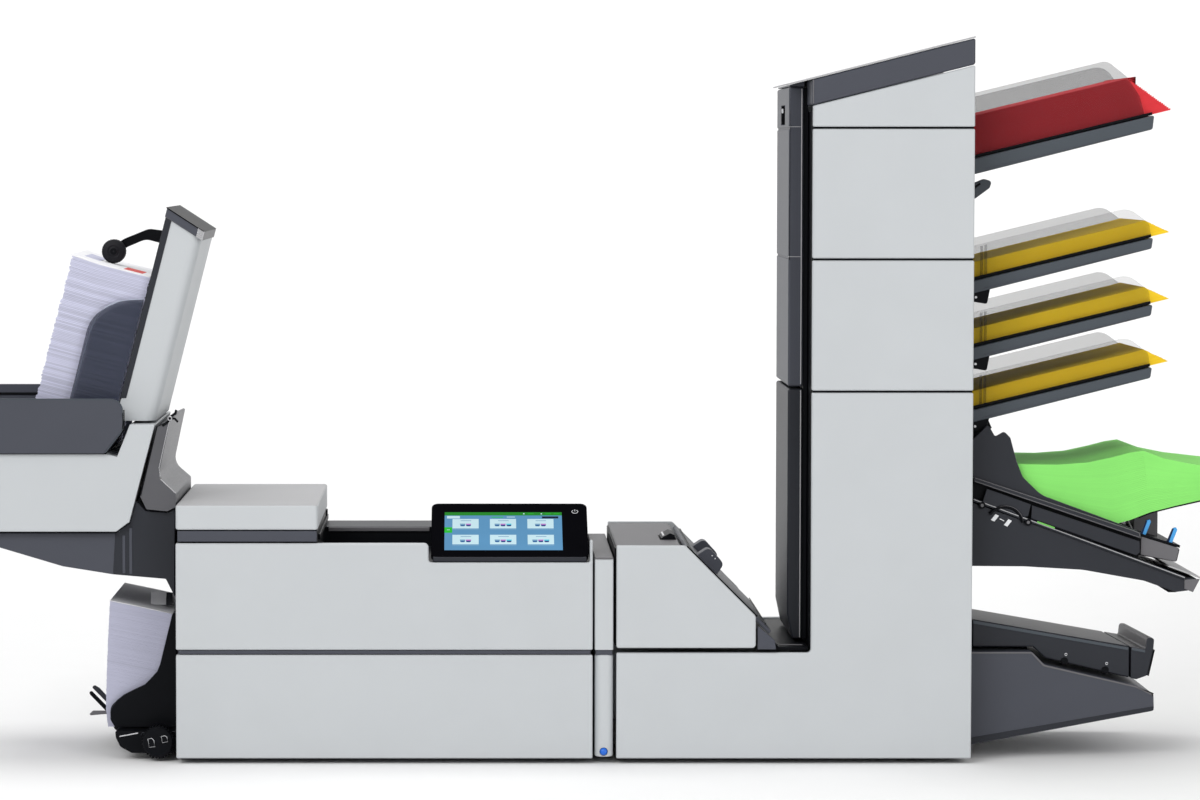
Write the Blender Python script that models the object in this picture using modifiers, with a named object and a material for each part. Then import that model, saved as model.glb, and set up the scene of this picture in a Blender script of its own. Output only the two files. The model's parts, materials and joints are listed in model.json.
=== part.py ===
"""Folder-inserter (mail inserting system): cabinet, folder, feeder tower, trays, hopper and output stacker.

Lengths are written in millimetres and turned into metres where a mesh is made. +X runs along the
machine towards the feeder trays, +Y from its front to its back, and +Z is up. The origin is on the
floor under the middle of the machine.
"""

from math import atan2, cos, radians, sin, tan

import bmesh
import bpy
from mathutils import Matrix, Vector

MM = 0.001

# Driving dimensions
FRONT, BACK = -190.0, 190.0
PANEL = 12.0
FRAME_FRONT, FRAME_BACK = -176.0, 176.0
FOOT = 8.0
FLOOR_GAP = 7.3
SEAM_LOW, SEAM_HIGH = 143.4, 150.0
CABINET_LEFT, CABINET_RIGHT = -520.7, 23.8
CABINET_TOP = 289.6
LID_RIGHT, LID_BOTTOM, LID_TOP, LID_BACK = -335.0, 307.3, 340.0, 172.0
SCREEN_LEFT, SCREEN_RIGHT = -187.4, 18.6
SCREEN_FRONT, SCREEN_LOW = -188.0, 272.0
SCREEN_BACK, SCREEN_HIGH = -84.0, 329.5
COLUMN_LEFT, COLUMN_RIGHT, COLUMN_TOP = 26.6, 50.8, 271.3
BUTTON_X, BUTTON_Z, BUTTON_R = 38.4, 16.4, 5.0
FOLDER_LEFT, FOLDER_TOP = 54.9, 286.4
TOWER_LEFT, TOWER_RIGHT = 309.0, 519.0
DOOR_LEFT, DOOR_RIGHT = 283.0, 303.0
DOOR_FRONT, DOOR_BACK = -115.0, 102.0
PANEL_SEAMS = (486.5, 658.7, 829.5)
SEAM = 2.8
TRAY_HALF = 118.0
GUIDE_Y = 108.0
TRAY_RISE = tan(radians(13.6))
TRAY_START, TRAY_END = 521.0, 763.0
TRAY_TOPS = (629.0, 541.0, 458.5)
TOP_TRAY_TOP = 789.8
LEAN = radians(14.3)
BACKREST_TOP = (-532.8, 725.8)
ROLLER_AT, ROLLER_R = (-613.8, 667.0), 16.0
STACKER_LEFT, STACKER_HALF = -823.0, 155.0
HOPPER_RIGHT = -524.5
KNOB_AT, KNOB_R = (-546.2, 26.0), 21.0
ROUND_STEPS = 5


def clear_scene():
    for obj in list(bpy.data.objects):
        bpy.data.objects.remove(obj, do_unlink=True)


def collection(name):
    made = bpy.data.collections.new(name)
    bpy.context.scene.collection.children.link(made)
    return made


def material(name, color, roughness, metallic=0.0):
    made = bpy.data.materials.new(name)
    made.use_nodes = True
    surface = made.node_tree.nodes["Principled BSDF"]
    surface.inputs["Base Color"].default_value = (*color, 1.0)
    surface.inputs["Roughness"].default_value = roughness
    surface.inputs["Metallic"].default_value = metallic
    return made


clear_scene()
PARTS = collection("folder_inserter")
CUTTERS = collection("cutters")

LIGHT = material("light_panel", (0.57, 0.61, 0.63), 0.5)
LID = material("lid_grey", (0.49, 0.49, 0.51), 0.5)
DARK = material("dark_cover", (0.085, 0.088, 0.105), 0.55)
BLACK = material("black_plastic", (0.012, 0.013, 0.016), 0.45)
METAL = material("zinc_plate", (0.42, 0.43, 0.45), 0.4, 1.0)
RUBBER = material("roller_rubber", (0.025, 0.025, 0.028), 0.8)
CLEAR = material("clear_guide", (0.8, 0.83, 0.86), 0.08)
GLASS = material("screen_glass", (0.01, 0.01, 0.012), 0.08)
BLUE = material("blue_plastic", (0.02, 0.22, 0.75), 0.35)
BOARD = material("drive_paint", (0.16, 0.17, 0.18), 0.5)


def keep(obj, name, finish):
    """Name the object, give it its material and put it with the parts."""
    obj.name = name
    obj.data.name = name
    obj.data.materials.clear()
    obj.data.materials.append(finish)
    for owner in list(obj.users_collection):
        owner.objects.unlink(obj)
    PARTS.objects.link(obj)
    return obj


def helper(obj):
    """Make the object a cutter or a piece to join: out of the render, drawn as wire."""
    for owner in list(obj.users_collection):
        owner.objects.unlink(obj)
    CUTTERS.objects.link(obj)
    obj.hide_render = True
    obj.display_type = "WIRE"
    return obj


def bevel(obj, width, segments=1, angle=50.0):
    edge = obj.modifiers.new("edge", "BEVEL")
    edge.width = width * MM
    edge.segments = segments
    edge.limit_method = "ANGLE"
    edge.angle_limit = radians(angle)
    return obj


def boolean(obj, other, operation):
    step = obj.modifiers.new(operation.lower(), "BOOLEAN")
    step.operation = operation
    step.object = helper(other)
    return obj


def cut(obj, *others):
    for other in others:
        boolean(obj, other, "DIFFERENCE")
    return obj


def join(obj, *others):
    for other in others:
        boolean(obj, other, "UNION")
    return obj


def pivot(obj, x, y, z):
    """Put the object's origin on its joint, without moving its mesh."""
    point = Vector((x, y, z)) * MM
    obj.data.transform(Matrix.Translation(-point))
    obj.location = point
    return obj


def scene_object(name, mesh):
    obj = bpy.data.objects.new(name, mesh)
    bpy.context.scene.collection.objects.link(obj)
    return obj


def block(x, y, z):
    """A box between two X, two Y and two Z values."""
    made = bmesh.new()
    bmesh.ops.create_cube(made, size=1.0)
    low = Vector((x[0], y[0], z[0])) * MM
    high = Vector((x[1], y[1], z[1])) * MM
    bmesh.ops.scale(made, vec=high - low, verts=made.verts)
    bmesh.ops.translate(made, vec=(low + high) / 2, verts=made.verts)
    mesh = bpy.data.meshes.new("block")
    made.to_mesh(mesh)
    made.free()
    return scene_object("block", mesh)


def rod(x, y, z, radius, sides=24):
    """A cylinder along Y, between two Y values."""
    made = bmesh.new()
    bmesh.ops.create_cone(
        made,
        cap_ends=True,
        segments=sides,
        radius1=radius * MM,
        radius2=radius * MM,
        depth=(y[1] - y[0]) * MM,
        matrix=Matrix.Translation(Vector((x, (y[0] + y[1]) / 2, z)) * MM)
        @ Matrix.Rotation(radians(90), 4, "X"),
    )
    mesh = bpy.data.meshes.new("rod")
    made.to_mesh(mesh)
    made.free()
    mesh.shade_smooth()
    mesh.set_sharp_from_angle(angle=radians(40))
    return scene_object("rod", mesh)


def foot(x, y):
    """A round foot under a chassis, from the floor up into the base plate."""
    made = bmesh.new()
    bmesh.ops.create_cone(
        made,
        cap_ends=True,
        segments=16,
        radius1=14 * MM,
        radius2=16 * MM,
        depth=(FOOT + 2) * MM,
        matrix=Matrix.Translation(Vector((x, y, (FOOT + 2) / 2)) * MM),
    )
    mesh = bpy.data.meshes.new("foot")
    made.to_mesh(mesh)
    made.free()
    return scene_object("foot", mesh)


def rounded(points):
    """The outline with each corner that has a third value, its radius, made an arc."""
    path = []
    for i, point in enumerate(points):
        here = Vector(point[:2])
        if len(point) < 3:
            path.append(here)
            continue
        before = Vector(points[i - 1][:2]) - here
        after = Vector(points[(i + 1) % len(points)][:2]) - here
        half = before.angle(after) / 2
        reach = point[2] / tan(half)
        middle = (before.normalized() + after.normalized()).normalized()
        centre = here + middle * (point[2] / sin(half))
        first = here + before.normalized() * reach - centre
        last = here + after.normalized() * reach - centre
        for step in range(ROUND_STEPS + 1):
            share = step / ROUND_STEPS
            arm = first.normalized().slerp(last.normalized(), share)
            path.append(centre + arm * point[2])
    return path


def flat(points, low, high, matrix):
    """A flat outline made thick from low to high along its third axis, then placed by the matrix."""
    curve = bpy.data.curves.new("outline", "CURVE")
    curve.dimensions = "2D"
    curve.fill_mode = "BOTH"
    curve.extrude = (high - low) / 2 * MM
    path = rounded(points)
    spline = curve.splines.new("POLY")
    spline.points.add(len(path) - 1)
    for knot, point in zip(spline.points, path):
        knot.co = (point.x * MM, point.y * MM, 0.0, 1.0)
    spline.use_cyclic_u = True
    drawn = scene_object("outline", curve)
    graph = bpy.context.evaluated_depsgraph_get()
    mesh = bpy.data.meshes.new_from_object(drawn.evaluated_get(graph))
    bpy.data.objects.remove(drawn, do_unlink=True)
    made = bmesh.new()
    made.from_mesh(mesh)
    bmesh.ops.remove_doubles(made, verts=made.verts, dist=1e-6)
    bmesh.ops.translate(made, vec=(0, 0, (low + high) / 2 * MM), verts=made.verts)
    bmesh.ops.transform(made, matrix=matrix, verts=made.verts)
    bmesh.ops.dissolve_limit(made, angle_limit=radians(0.5), verts=made.verts, edges=made.edges)
    bmesh.ops.recalc_face_normals(made, faces=made.faces)
    made.to_mesh(mesh)
    made.free()
    return scene_object("outline", mesh)


# The first two axes of an outline become X and Z, Y and Z, or X and Y.
STANDING = Matrix(((1, 0, 0, 0), (0, 0, 1, 0), (0, 1, 0, 0), (0, 0, 0, 1)))
SIDEWAYS = Matrix(((0, 0, 1, 0), (1, 0, 0, 0), (0, 1, 0, 0), (0, 0, 0, 1)))
LYING = Matrix.Identity(4)


def slab(points, y):
    """An outline in X and Z, between two Y values."""
    return flat(points, y[0], y[1], STANDING)


def rectangle(x, z, radius=None):
    corners = ((x[0], z[0]), (x[1], z[0]), (x[1], z[1]), (x[0], z[1]))
    return [(*corner, radius) if radius else corner for corner in corners]


# Inserter cabinet ---------------------------------------------------------------------------------


def inserter_frame():
    plate = (FRAME_FRONT, FRAME_BACK)
    frame = block((-519, 22), plate, (FOOT, FOOT + 4))
    join(
        frame,
        block((-519, -515), plate, (FOOT + 1, 255)),
        block((18, 22), plate, (FOOT + 1, 255)),
        block((-517, 20), plate, (145, 148)),
        *[foot(x, y) for x in (-480, -20) for y in (-120, 120)],
    )
    keep(frame, "inserter_frame", DARK)


def inserter_panels():
    top = CABINET_TOP
    step = SCREEN_LEFT - 3.2
    low = SCREEN_LOW - 7.5
    upper = slab(
        [
            (CABINET_LEFT, SEAM_HIGH, 2),
            (CABINET_RIGHT, SEAM_HIGH, 2),
            (CABINET_RIGHT, top + 4, 1.5),
            (CABINET_RIGHT - 3.6, top + 4, 1.5),
            (CABINET_RIGHT - 3.6, low, 3),
            (step, low, 4),
            (step, top, 6),
            (CABINET_LEFT, top, 2),
        ],
        (FRONT, FRONT + PANEL),
    )
    keep(bevel(upper, 1.5), "inserter_upper_panel", LIGHT)
    lower = slab(
        rectangle((CABINET_LEFT, CABINET_RIGHT), (FLOOR_GAP, SEAM_LOW), 2), (FRONT, FRONT + PANEL)
    )
    keep(bevel(lower, 1.5), "inserter_lower_panel", LIGHT)
    rear = slab(
        rectangle((CABINET_LEFT, CABINET_RIGHT), (FLOOR_GAP, 286), 4), (BACK - PANEL, BACK)
    )
    keep(bevel(rear, 1.5), "inserter_rear_cover", LIGHT)


def top_frame():
    """The dark tub on the cabinet: the lid's well, the open deck with its ledge, and the screen's seat."""
    frame = block((-337, 22), (-177, LID_BACK), (256, 262))
    join(
        frame,
        block((-518.5, -336), (-177, LID_BACK), (256, 306.7)),
        block((-518.5, -336), (-184, -176), (290.5, 306.7)),
        block((-337, 22), (70, LID_BACK), (261, 289)),
        block((SCREEN_LEFT, 22), (-177, 71), (261, 264.8)),
    )
    cut(frame, block((-502, -352), (-162, 150), (272, 320)))
    keep(frame, "top_frame", BLACK)


def top_lid():
    lid = block((CABINET_LEFT, LID_RIGHT), (FRONT, LID_BACK), (LID_BOTTOM, LID_TOP))
    bevel(lid, 3, 2)
    inside = block(
        (CABINET_LEFT + 5, LID_RIGHT - 5), (FRONT + 5, LID_BACK - 5), (LID_BOTTOM - 5, LID_TOP - 4)
    )
    cut(lid, inside)
    keep(pivot(lid, 0, LID_BACK, LID_BOTTOM), "top_lid", LID)


def screen_place():
    """Puts a flat shape on the screen's sloping face, with its middle on the face's middle."""
    tilt = atan2(SCREEN_HIGH - SCREEN_LOW, SCREEN_BACK - SCREEN_FRONT)
    middle = (
        (SCREEN_LEFT + SCREEN_RIGHT) / 2,
        (SCREEN_FRONT + SCREEN_BACK) / 2,
        (SCREEN_LOW + SCREEN_HIGH) / 2,
    )
    return Matrix.Translation(Vector(middle) * MM) @ Matrix.Rotation(tilt, 4, "X")


def on_screen(width, length, low, high):
    """A plate on the screen's sloping face, from low to high along its normal."""
    across, along = (-width / 2, width / 2), (-length / 2, length / 2)
    return flat(rectangle(across, along, 7), low, high, screen_place())


def display():
    side = [
        (SCREEN_FRONT, 265.4, 2.5),
        (SCREEN_FRONT, SCREEN_LOW, 2.5),
        (SCREEN_BACK, SCREEN_HIGH, 3),
        (SCREEN_BACK + 12, SCREEN_HIGH, 3),
        (SCREEN_BACK + 24, 265.4),
    ]
    housing = flat(side, SCREEN_LEFT, SCREEN_RIGHT, SIDEWAYS)
    bevel(housing, 1.2)
    cut(housing, on_screen(197, 109, -2.2, 5))
    keep(housing, "display_housing", BLACK)
    keep(on_screen(196, 108, -1.9, -0.2), "display_panel", GLASS)


# Column between the cabinet and the folder ---------------------------------------------------------


def column():
    radius = (COLUMN_RIGHT - COLUMN_LEFT) / 2 - 1.6
    plan = [
        (COLUMN_LEFT, FRONT, radius),
        (COLUMN_RIGHT, FRONT, radius),
        (COLUMN_RIGHT, 165),
        (COLUMN_LEFT, 165),
    ]
    body = flat(plan, FLOOR_GAP + 2, COLUMN_TOP, LYING)
    bevel(body, 1.0)
    ring = block((COLUMN_LEFT - 5, COLUMN_RIGHT + 5), (FRONT - 5, 170), (SEAM_LOW, SEAM_HIGH))
    core = block((COLUMN_LEFT + 3, COLUMN_RIGHT - 3), (FRONT + 8, 160), (SEAM_LOW - 6, SEAM_HIGH + 6))
    cut(ring, core)
    cut(body, ring, rod(BUTTON_X, (FRONT - 3, FRONT + 14), BUTTON_Z, BUTTON_R + 0.5, 20))
    keep(body, "hinge_column", LIGHT)
    button = rod(BUTTON_X, (FRONT - 2, FRONT + 9), BUTTON_Z, BUTTON_R, 20)
    bevel(button, 0.6)
    keep(pivot(button, BUTTON_X, FRONT, BUTTON_Z), "release_button", BLUE)


# Folder --------------------------------------------------------------------------------------------

SLOPE_TOP, SLOPE_BOTTOM = (148.0, 283.0), (258.0, 173.0)
SLOPE_HINGE = (256.0, 169.0)


def folder_outline():
    return [
        (FOLDER_LEFT, SEAM_HIGH + 2.4, 3),
        (237, SEAM_HIGH + 2.4, 5),
        (237, 194.2, 5),
        (144.8, FOLDER_TOP, 6),
        (FOLDER_LEFT, FOLDER_TOP, 2),
    ]


def folder_covers():
    side = slab(folder_outline(), (FRONT, FRONT + PANEL))
    keep(bevel(side, 1.5), "folder_side_panel", LIGHT)
    top = block((FOLDER_LEFT, 139.5), (-177, 165), (262, FOLDER_TOP - 0.4))
    bevel(top, 2)
    cut(top, block((116, 138.2), (-95, -25), (276, 295)))
    keep(top, "folder_top_cover", DARK)
    latch = slab(
        [(117.5, 280, 1), (135.5, 280, 1), (135.5, 292, 2), (129, 294.5, 2), (117.5, 288, 2)],
        (-92, -28),
    )
    keep(pivot(latch, 132, -60, 283), "folder_latch", BLACK)


def slope_handle(y):
    """A rounded tab standing on the sloping cover."""
    along = Vector((1, -1)).normalized()
    out = Vector((1, 1)).normalized()
    foot_at = Vector(SLOPE_TOP) + along * 26
    corners = [
        (foot_at - out * 3, 0),
        (foot_at + along * 38 - out * 3, 0),
        (foot_at + along * 34 + out * 16, 7),
        (foot_at + along * 4 + out * 17.5, 7),
    ]
    points = [(p.x, p.y, r) if r else (p.x, p.y) for p, r in corners]
    return slab(points, (y - 14, y + 14))


def slope_cover():
    out = Vector((1, 1)).normalized()
    under = out * -5
    ends = (Vector(SLOPE_TOP), Vector(SLOPE_BOTTOM))
    outline = [tuple(ends[0]), tuple(ends[1]), tuple(ends[1] + under), tuple(ends[0] + under)]
    cover = slab(outline, (-176, 163))
    join(cover, slope_handle(-62), slope_handle(62))
    keep(pivot(cover, SLOPE_HINGE[0], 0, SLOPE_HINGE[1]), "slope_cover", DARK)


def fold_rollers():
    for name, x, z in (("fold_roller_upper", 140, 232), ("fold_roller_lower", 158, 196)):
        roller = rod(x, (-160, 160), z, 18, 20)
        join(roller, rod(x, (-172, 172), z, 6, 12))
        keep(pivot(roller, x, 0, z), name, RUBBER)


def collator_trough():
    trough = slab(
        [
            (240, 147.5),
            (306, 147.5),
            (306, 152),
            (268, 152),
            (262, 157),
            (262, 162),
            (246, 162),
            (240, 156),
        ],
        (-174, 163),
    )
    wall = slab([(240.5, 148), (262, 148), (262, 159), (246, 174), (240.5, 174)], (-156, -151))
    join(trough, wall)
    keep(trough, "collator_trough", BLACK)


# Feeder tower --------------------------------------------------------------------------------------


def tower_frame():
    depth = (FRAME_FRONT, FRAME_BACK)
    frame = block((56, 517), depth, (FOOT, FOOT + 4))
    join(
        frame,
        block((TOWER_LEFT + 0.5, TOWER_LEFT + 4), depth, (FOOT + 1, 852)),
        block((513, 517), depth, (FOOT + 1, 900)),
        block((TOWER_LEFT + 1, 515), (FRAME_FRONT, FRAME_FRONT + 3), (FOOT + 1, 850)),
        block((TOWER_LEFT + 1, 515), (FRAME_BACK - 3, FRAME_BACK), (FOOT + 1, 850)),
        *[foot(x, y) for x in (95, 478) for y in (-120, 120)],
    )
    keep(frame, "tower_frame", BLACK)


def cap_line(x):
    """Height of the cap's lower edge."""
    return 860.5 + (x - TOWER_LEFT) * (52.5 / (TOWER_RIGHT - TOWER_LEFT))


def tower_panels():
    left, right = TOWER_LEFT, TOWER_RIGHT
    front = (FRONT, FRONT + PANEL)
    lower = slab(
        [
            (FOLDER_LEFT, FLOOR_GAP, 2),
            (right, FLOOR_GAP, 2),
            (right, PANEL_SEAMS[0], 2),
            (left, PANEL_SEAMS[0], 2),
            (left, SEAM_LOW + 2.6, 5),
            (FOLDER_LEFT, SEAM_LOW + 2.6, 2),
        ],
        front,
    )
    keep(bevel(lower, 1.5), "lower_tower_panel", LIGHT)
    names = ("feeder_panel_bottom", "feeder_panel_middle")
    for name, low, high in zip(names, PANEL_SEAMS, PANEL_SEAMS[1:]):
        panel = slab(rectangle((left, right), (low + SEAM, high), 2), front)
        keep(bevel(panel, 1.5), name, LIGHT)
    low = PANEL_SEAMS[-1] + SEAM
    top = slab(
        [(left, low, 2), (right, low, 2), (right, cap_line(right) - 1, 2), (left, cap_line(left) - 1, 2)],
        front,
    )
    keep(bevel(top, 1.5), "feeder_panel_top", LIGHT)
    cap = slab(
        [(left - 2, cap_line(left - 2)), (right, cap_line(right)), (right, 947), (left - 2, 893.5)],
        (FRONT, 176),
    )
    bevel(cap, 2)
    keep(cap, "tower_cap", DARK)


def rear_cover():
    """One rear skin over the folder, the base and the tower, with the mains fittings let into it."""
    folder = folder_outline()
    outline = [
        (FOLDER_LEFT, FLOOR_GAP, 2),
        (TOWER_RIGHT, FLOOR_GAP, 2),
        (TOWER_RIGHT, cap_line(TOWER_RIGHT) - 2, 2),
        (TOWER_LEFT, cap_line(TOWER_LEFT) - 2, 2),
        (TOWER_LEFT, 153, 3),
        *folder[1:],
    ]
    cover = slab(outline, (BACK - PANEL, BACK))
    cut(
        cover,
        block((79.5, 112.5), (BACK - 20, BACK + 5), (35.5, 64.5)),
        block((119.5, 136.5), (BACK - 20, BACK + 5), (37.5, 62.5)),
    )
    keep(cover, "tower_rear_cover", LIGHT)
    inlet = block((80, 112), (BACK - PANEL - 6, BACK + 2), (36, 64))
    cut(inlet, block((85, 107), (BACK - 10, BACK + 6), (42, 58)))
    keep(inlet, "power_inlet", BLACK)
    rocker = flat(
        [(181, 39), (192, 39), (188, 50), (189, 61), (181, 61)], 121, 135, SIDEWAYS
    )
    keep(pivot(rocker, 128, 181, 50), "rocker_switch", BLACK)


def collator():
    depth = (DOOR_FRONT, DOOR_BACK)
    lower = slab(
        [(DOOR_RIGHT, 156), (DOOR_RIGHT, 487.5), (DOOR_LEFT, 487.5), (DOOR_LEFT, 190), (290, 156)],
        depth,
    )
    bevel(lower, 2)
    keep(lower, "collator_lower", DARK)
    door = block((DOOR_LEFT, DOOR_RIGHT), depth, (491, 885))
    bevel(door, 2)
    grooves = [
        block((DOOR_LEFT - 3, DOOR_LEFT + 1.5), (DOOR_FRONT - 3, DOOR_BACK + 3), (z, z + SEAM))
        for z in PANEL_SEAMS[1:]
    ]
    grip = block((DOOR_LEFT - 3, DOOR_LEFT + 11), (-42, 30), (836, 862))
    cut(door, grip, *grooves)
    keep(pivot(door, DOOR_RIGHT, DOOR_BACK, 491), "collator_door", DARK)


def inner_parts():
    supply = block((340, 490), (-110, 60), (14, 84))
    keep(bevel(supply, 2), "power_supply", METAL)
    motor = rod(115, (20, 120), 60, 32, 24)
    join(motor, rod(115, (119, 150), 60, 5, 12), block((80, 150), (30, 110), (12.5, 30)))
    keep(motor, "drive_motor", BOARD)


# Feeder trays --------------------------------------------------------------------------------------


def tray_line(top, x):
    """Height of a tray's upper face."""
    return top + (x - TRAY_START) * TRAY_RISE


def guide_outline(top, low, x0, x1, height):
    """A clear side guide that stands on a tray, with a round upper outer corner."""
    return [
        (x0, tray_line(top, x0) + low),
        (x1, tray_line(top, x1) + low),
        (x1 - 6, tray_line(top, x1) + height * 0.45, 8),
        (x1 - 36, tray_line(top, x1 - 36) + height, 20),
        (x0, tray_line(top, x0) + height, 3),
    ]


def feeder_tray(name, guide_name, top, thickness, rear_height, front_height, hook_drop):
    bottom = top - thickness
    body = slab(
        [
            (TRAY_START, tray_line(bottom, TRAY_START)),
            (TRAY_END, tray_line(bottom, TRAY_END) + 3, 3),
            (TRAY_END, tray_line(top, TRAY_END), 2),
            (TRAY_START, tray_line(top, TRAY_START)),
        ],
        (-TRAY_HALF, TRAY_HALF),
    )
    rear = slab(guide_outline(top, -3, 530, TRAY_END - 3, rear_height), (GUIDE_Y, GUIDE_Y + 3))
    hook = slab(
        [
            (TRAY_START, tray_line(bottom, TRAY_START) + 4),
            (550, tray_line(bottom, 550) + 4),
            (545, tray_line(bottom, 550) - hook_drop, 2),
            (TRAY_START, tray_line(bottom, TRAY_START) - hook_drop, 2),
        ],
        (-90, 90),
    )
    join(body, rear, hook)
    keep(body, name, DARK)
    front = slab(
        guide_outline(top, 1, 523, TRAY_END - 2, front_height), (-GUIDE_Y - 3, -GUIDE_Y)
    )
    keep(front, guide_name, CLEAR)


def feeder_trays():
    feeder_tray("top_tray", "top_tray_guide", TOP_TRAY_TOP, 21.0, 78.0, 86.0, 1.5)
    for number, top in enumerate(TRAY_TOPS, 1):
        feeder_tray(f"feeder_tray_{number}", f"tray_guide_{number}", top, 17.0, 46.0, 46.0, 17.0)
    lever = slab(
        [(521.5, 738), (534, 738, 3), (553, 752, 4), (556, 761, 4), (546, 764, 3), (521.5, 754)],
        (-70, -52),
    )
    keep(pivot(lever, 526, -61, 746), "feeder_lever", BLACK)


# Maxi feeder ---------------------------------------------------------------------------------------

TABLE_START, TABLE_FALL = 372.0, 0.3463


def table_line(x):
    """Height of the sloping table's upper face."""
    return TABLE_START - (x - TRAY_START) * TABLE_FALL


def maxi_feeder():
    body = slab(
        [
            (521, 340),
            (560, 326.5),
            (808, 238.5, 5),
            (826.8, 238.5, 3),
            (811, 221.8, 3),
            (795, 219.9, 8),
            (752.5, 235, 40),
            (672, 249.4, 120),
            (594, 253.9),
            (521, 254.4),
        ],
        (-130, 130),
    )
    keep(body, "maxi_body", DARK)
    table = slab(
        [
            (521, table_line(521)),
            (750, table_line(750)),
            (750, 292, 2),
            (801, 277, 3),
            (797, 259, 3),
            (748, 268),
            (521, table_line(521) - 17),
        ],
        (-122, 122),
    )
    upright = block((757, 781), (-40, 60), (270, 314))
    join(table, upright)
    keep(table, "maxi_table", BLACK)
    guide = slab(
        [
            (522, table_line(522) + 1.5),
            (744, table_line(744) + 1.5, 1),
            (744, table_line(744) + 6.5, 1),
            (616.2, 348.5, 40),
            (592, 372, 12),
            (583.6, 393, 12),
            (575.3, 424, 6),
            (567.2, 432.3, 4),
            (555.2, 425.3, 3),
            (546, 441.4, 3),
            (522, 418),
        ],
        (-130, -125),
    )
    keep(guide, "maxi_side_guide", DARK)
    for number, x, y in ((1, 762.5, -108), (2, 796.0, -117)):
        z = 295.2 - (x - 750) * 0.294
        lever = slab(
            [(x - 3, z), (x + 3, z), (x - 1, z + 22, 2), (x - 8, z + 22, 2)], (y - 3, y + 3)
        )
        keep(pivot(lever, x, y, z), f"maxi_lever_{number}", BLUE)


# Insert feeder -------------------------------------------------------------------------------------


def lower_back(obj, level, drop):
    """Lower the rear end of a sloping upper face; its height at X 0, with a fall of 0.17, is over the level."""
    for corner in obj.data.vertices:
        x, y, z = (value / MM for value in corner.co)
        if y > 0 and z + 0.17 * x > level:
            corner.co.z -= drop * MM


def insert_feeder():
    tray = slab(
        [
            (521, 141.5),
            (605, 141.5, 5),
            (621.3, 124.5, 6),
            (742.8, 96.2),
            (766, 85.1, 4),
            (766.8, 63, 4),
            (521, 17),
        ],
        (-135, 135),
    )
    keep(tray, "insert_tray", DARK)
    cover = slab(
        [
            (527.6, 146),
            (608, 146),
            (625, 131),
            (736, 105),
            (736, 147, 3),
            (527.6, 183, 2),
        ],
        (-120, 120),
    )
    lower_back(cover, 250.0, 7.0)
    bevel(cover, 1.5)
    keep(pivot(cover, 530, 0, 176), "insert_cover", BLACK)
    stop = slab(
        [
            (738, 104.5),
            (745.4, 102.8),
            (760, 108, 4),
            (767.7, 142, 3),
            (769, 158, 4),
            (758.5, 158.6, 4),
            (757, 143.4, 2),
            (738, 146.6),
        ],
        (-120, 120),
    )
    lower_back(stop, 250.0, 7.0)
    keep(stop, "insert_end_stop", BLACK)


# Output stacker ------------------------------------------------------------------------------------


def lean_x(z, shift=0.0):
    """X of the backrest's leaning face at a height, moved along its normal by shift."""
    return BACKREST_TOP[0] - (BACKREST_TOP[1] - z) * tan(LEAN) + shift / cos(LEAN)


def stacker():
    half = STACKER_HALF
    body = slab(
        [
            (STACKER_LEFT, 299.6, 6),
            (-600.8, 299.6, 8),
            (-584.6, 312.3, 8),
            (-550, 442.5, 2),
            (-583, 442.5),
            (-600, 400),
            (STACKER_LEFT, 455),
        ],
        (-half + 6, half - 6),
    )
    rear = slab([(STACKER_LEFT, 402), (-604, 402), (-604, 480, 12), (STACKER_LEFT, 480, 4)], (half - 8, half))
    join(body, rear)
    keep(body, "stacker_body", LIGHT)
    wall = slab(
        [
            (STACKER_LEFT, 404.6, 3),
            (-616, 404.6, 3),
            (-591.5, 436, 12),
            (-591.5, 476.8, 16),
            (STACKER_LEFT, 476.8, 3),
        ],
        (-half - 1, -half + 5.5),
    )
    keep(wall, "stacker_front_wall", DARK)
    under = slab(
        [
            (STACKER_LEFT + 3, 298.9),
            (-672.8, 254.9),
            (-606.3, 244.2),
            (-537, 238.2, 3),
            (-525.5, 215),
            (-524.2, 331.5, 2),
            (-534, 326, 3),
            (-563, 328),
            (-575.3, 341),
            (-583.4, 311.6, 8),
            (-600.3, 298.9),
        ],
        (-140, 140),
    )
    keep(under, "stacker_underside", DARK)


def backrest():
    top = BACKREST_TOP
    rest = slab(
        [
            top,
            (-486.7, 695.6),
            (-550.4, 446),
            (-583.5, 446),
            (lean_x(474), 474),
        ],
        (-125, 125),
    )
    bevel(rest, 1.5)
    slot = slab(
        [
            (lean_x(712, -10), 712),
            (lean_x(712, 10), 712),
            (lean_x(482, 10), 482),
            (lean_x(482, -10), 482),
        ],
        (-7, 7),
    )
    cut(rest, slot)
    keep(rest, "backrest", LIGHT)
    arm = slab(
        [
            (lean_x(694, 7), 694),
            (lean_x(676, 7), 676),
            (lean_x(677, -4), 677),
            (-572, 683, 20),
            (-598, 672, 10),
            (-612, 661, 4),
            (-620, 672, 4),
            (-600, 684, 12),
            (-568, 697, 16),
            (lean_x(694, -4), 694),
        ],
        (-5, 5),
    )
    join(arm, rod(ROLLER_AT[0], (-24, 4), ROLLER_AT[1], 3, 12))
    keep(pivot(arm, ROLLER_AT[0], 0, ROLLER_AT[1]), "stack_arm", BLACK)
    roller = rod(ROLLER_AT[0], (-23, -6), ROLLER_AT[1], ROLLER_R, 28)
    bevel(roller, 2)
    cut(roller, rod(ROLLER_AT[0], (-30, 0), ROLLER_AT[1], 3.4, 12))
    keep(pivot(roller, ROLLER_AT[0], 0, ROLLER_AT[1]), "stack_roller", RUBBER)


def stacker_guide():
    guide = slab(
        [
            (lean_x(606, -2), 606, 3),
            (-634, 590, 22),
            (-674, 430, 4),
            (lean_x(424, -2), 424),
        ],
        (-127, -124),
    )
    keep(guide, "stacker_guide", CLEAR)


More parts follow.
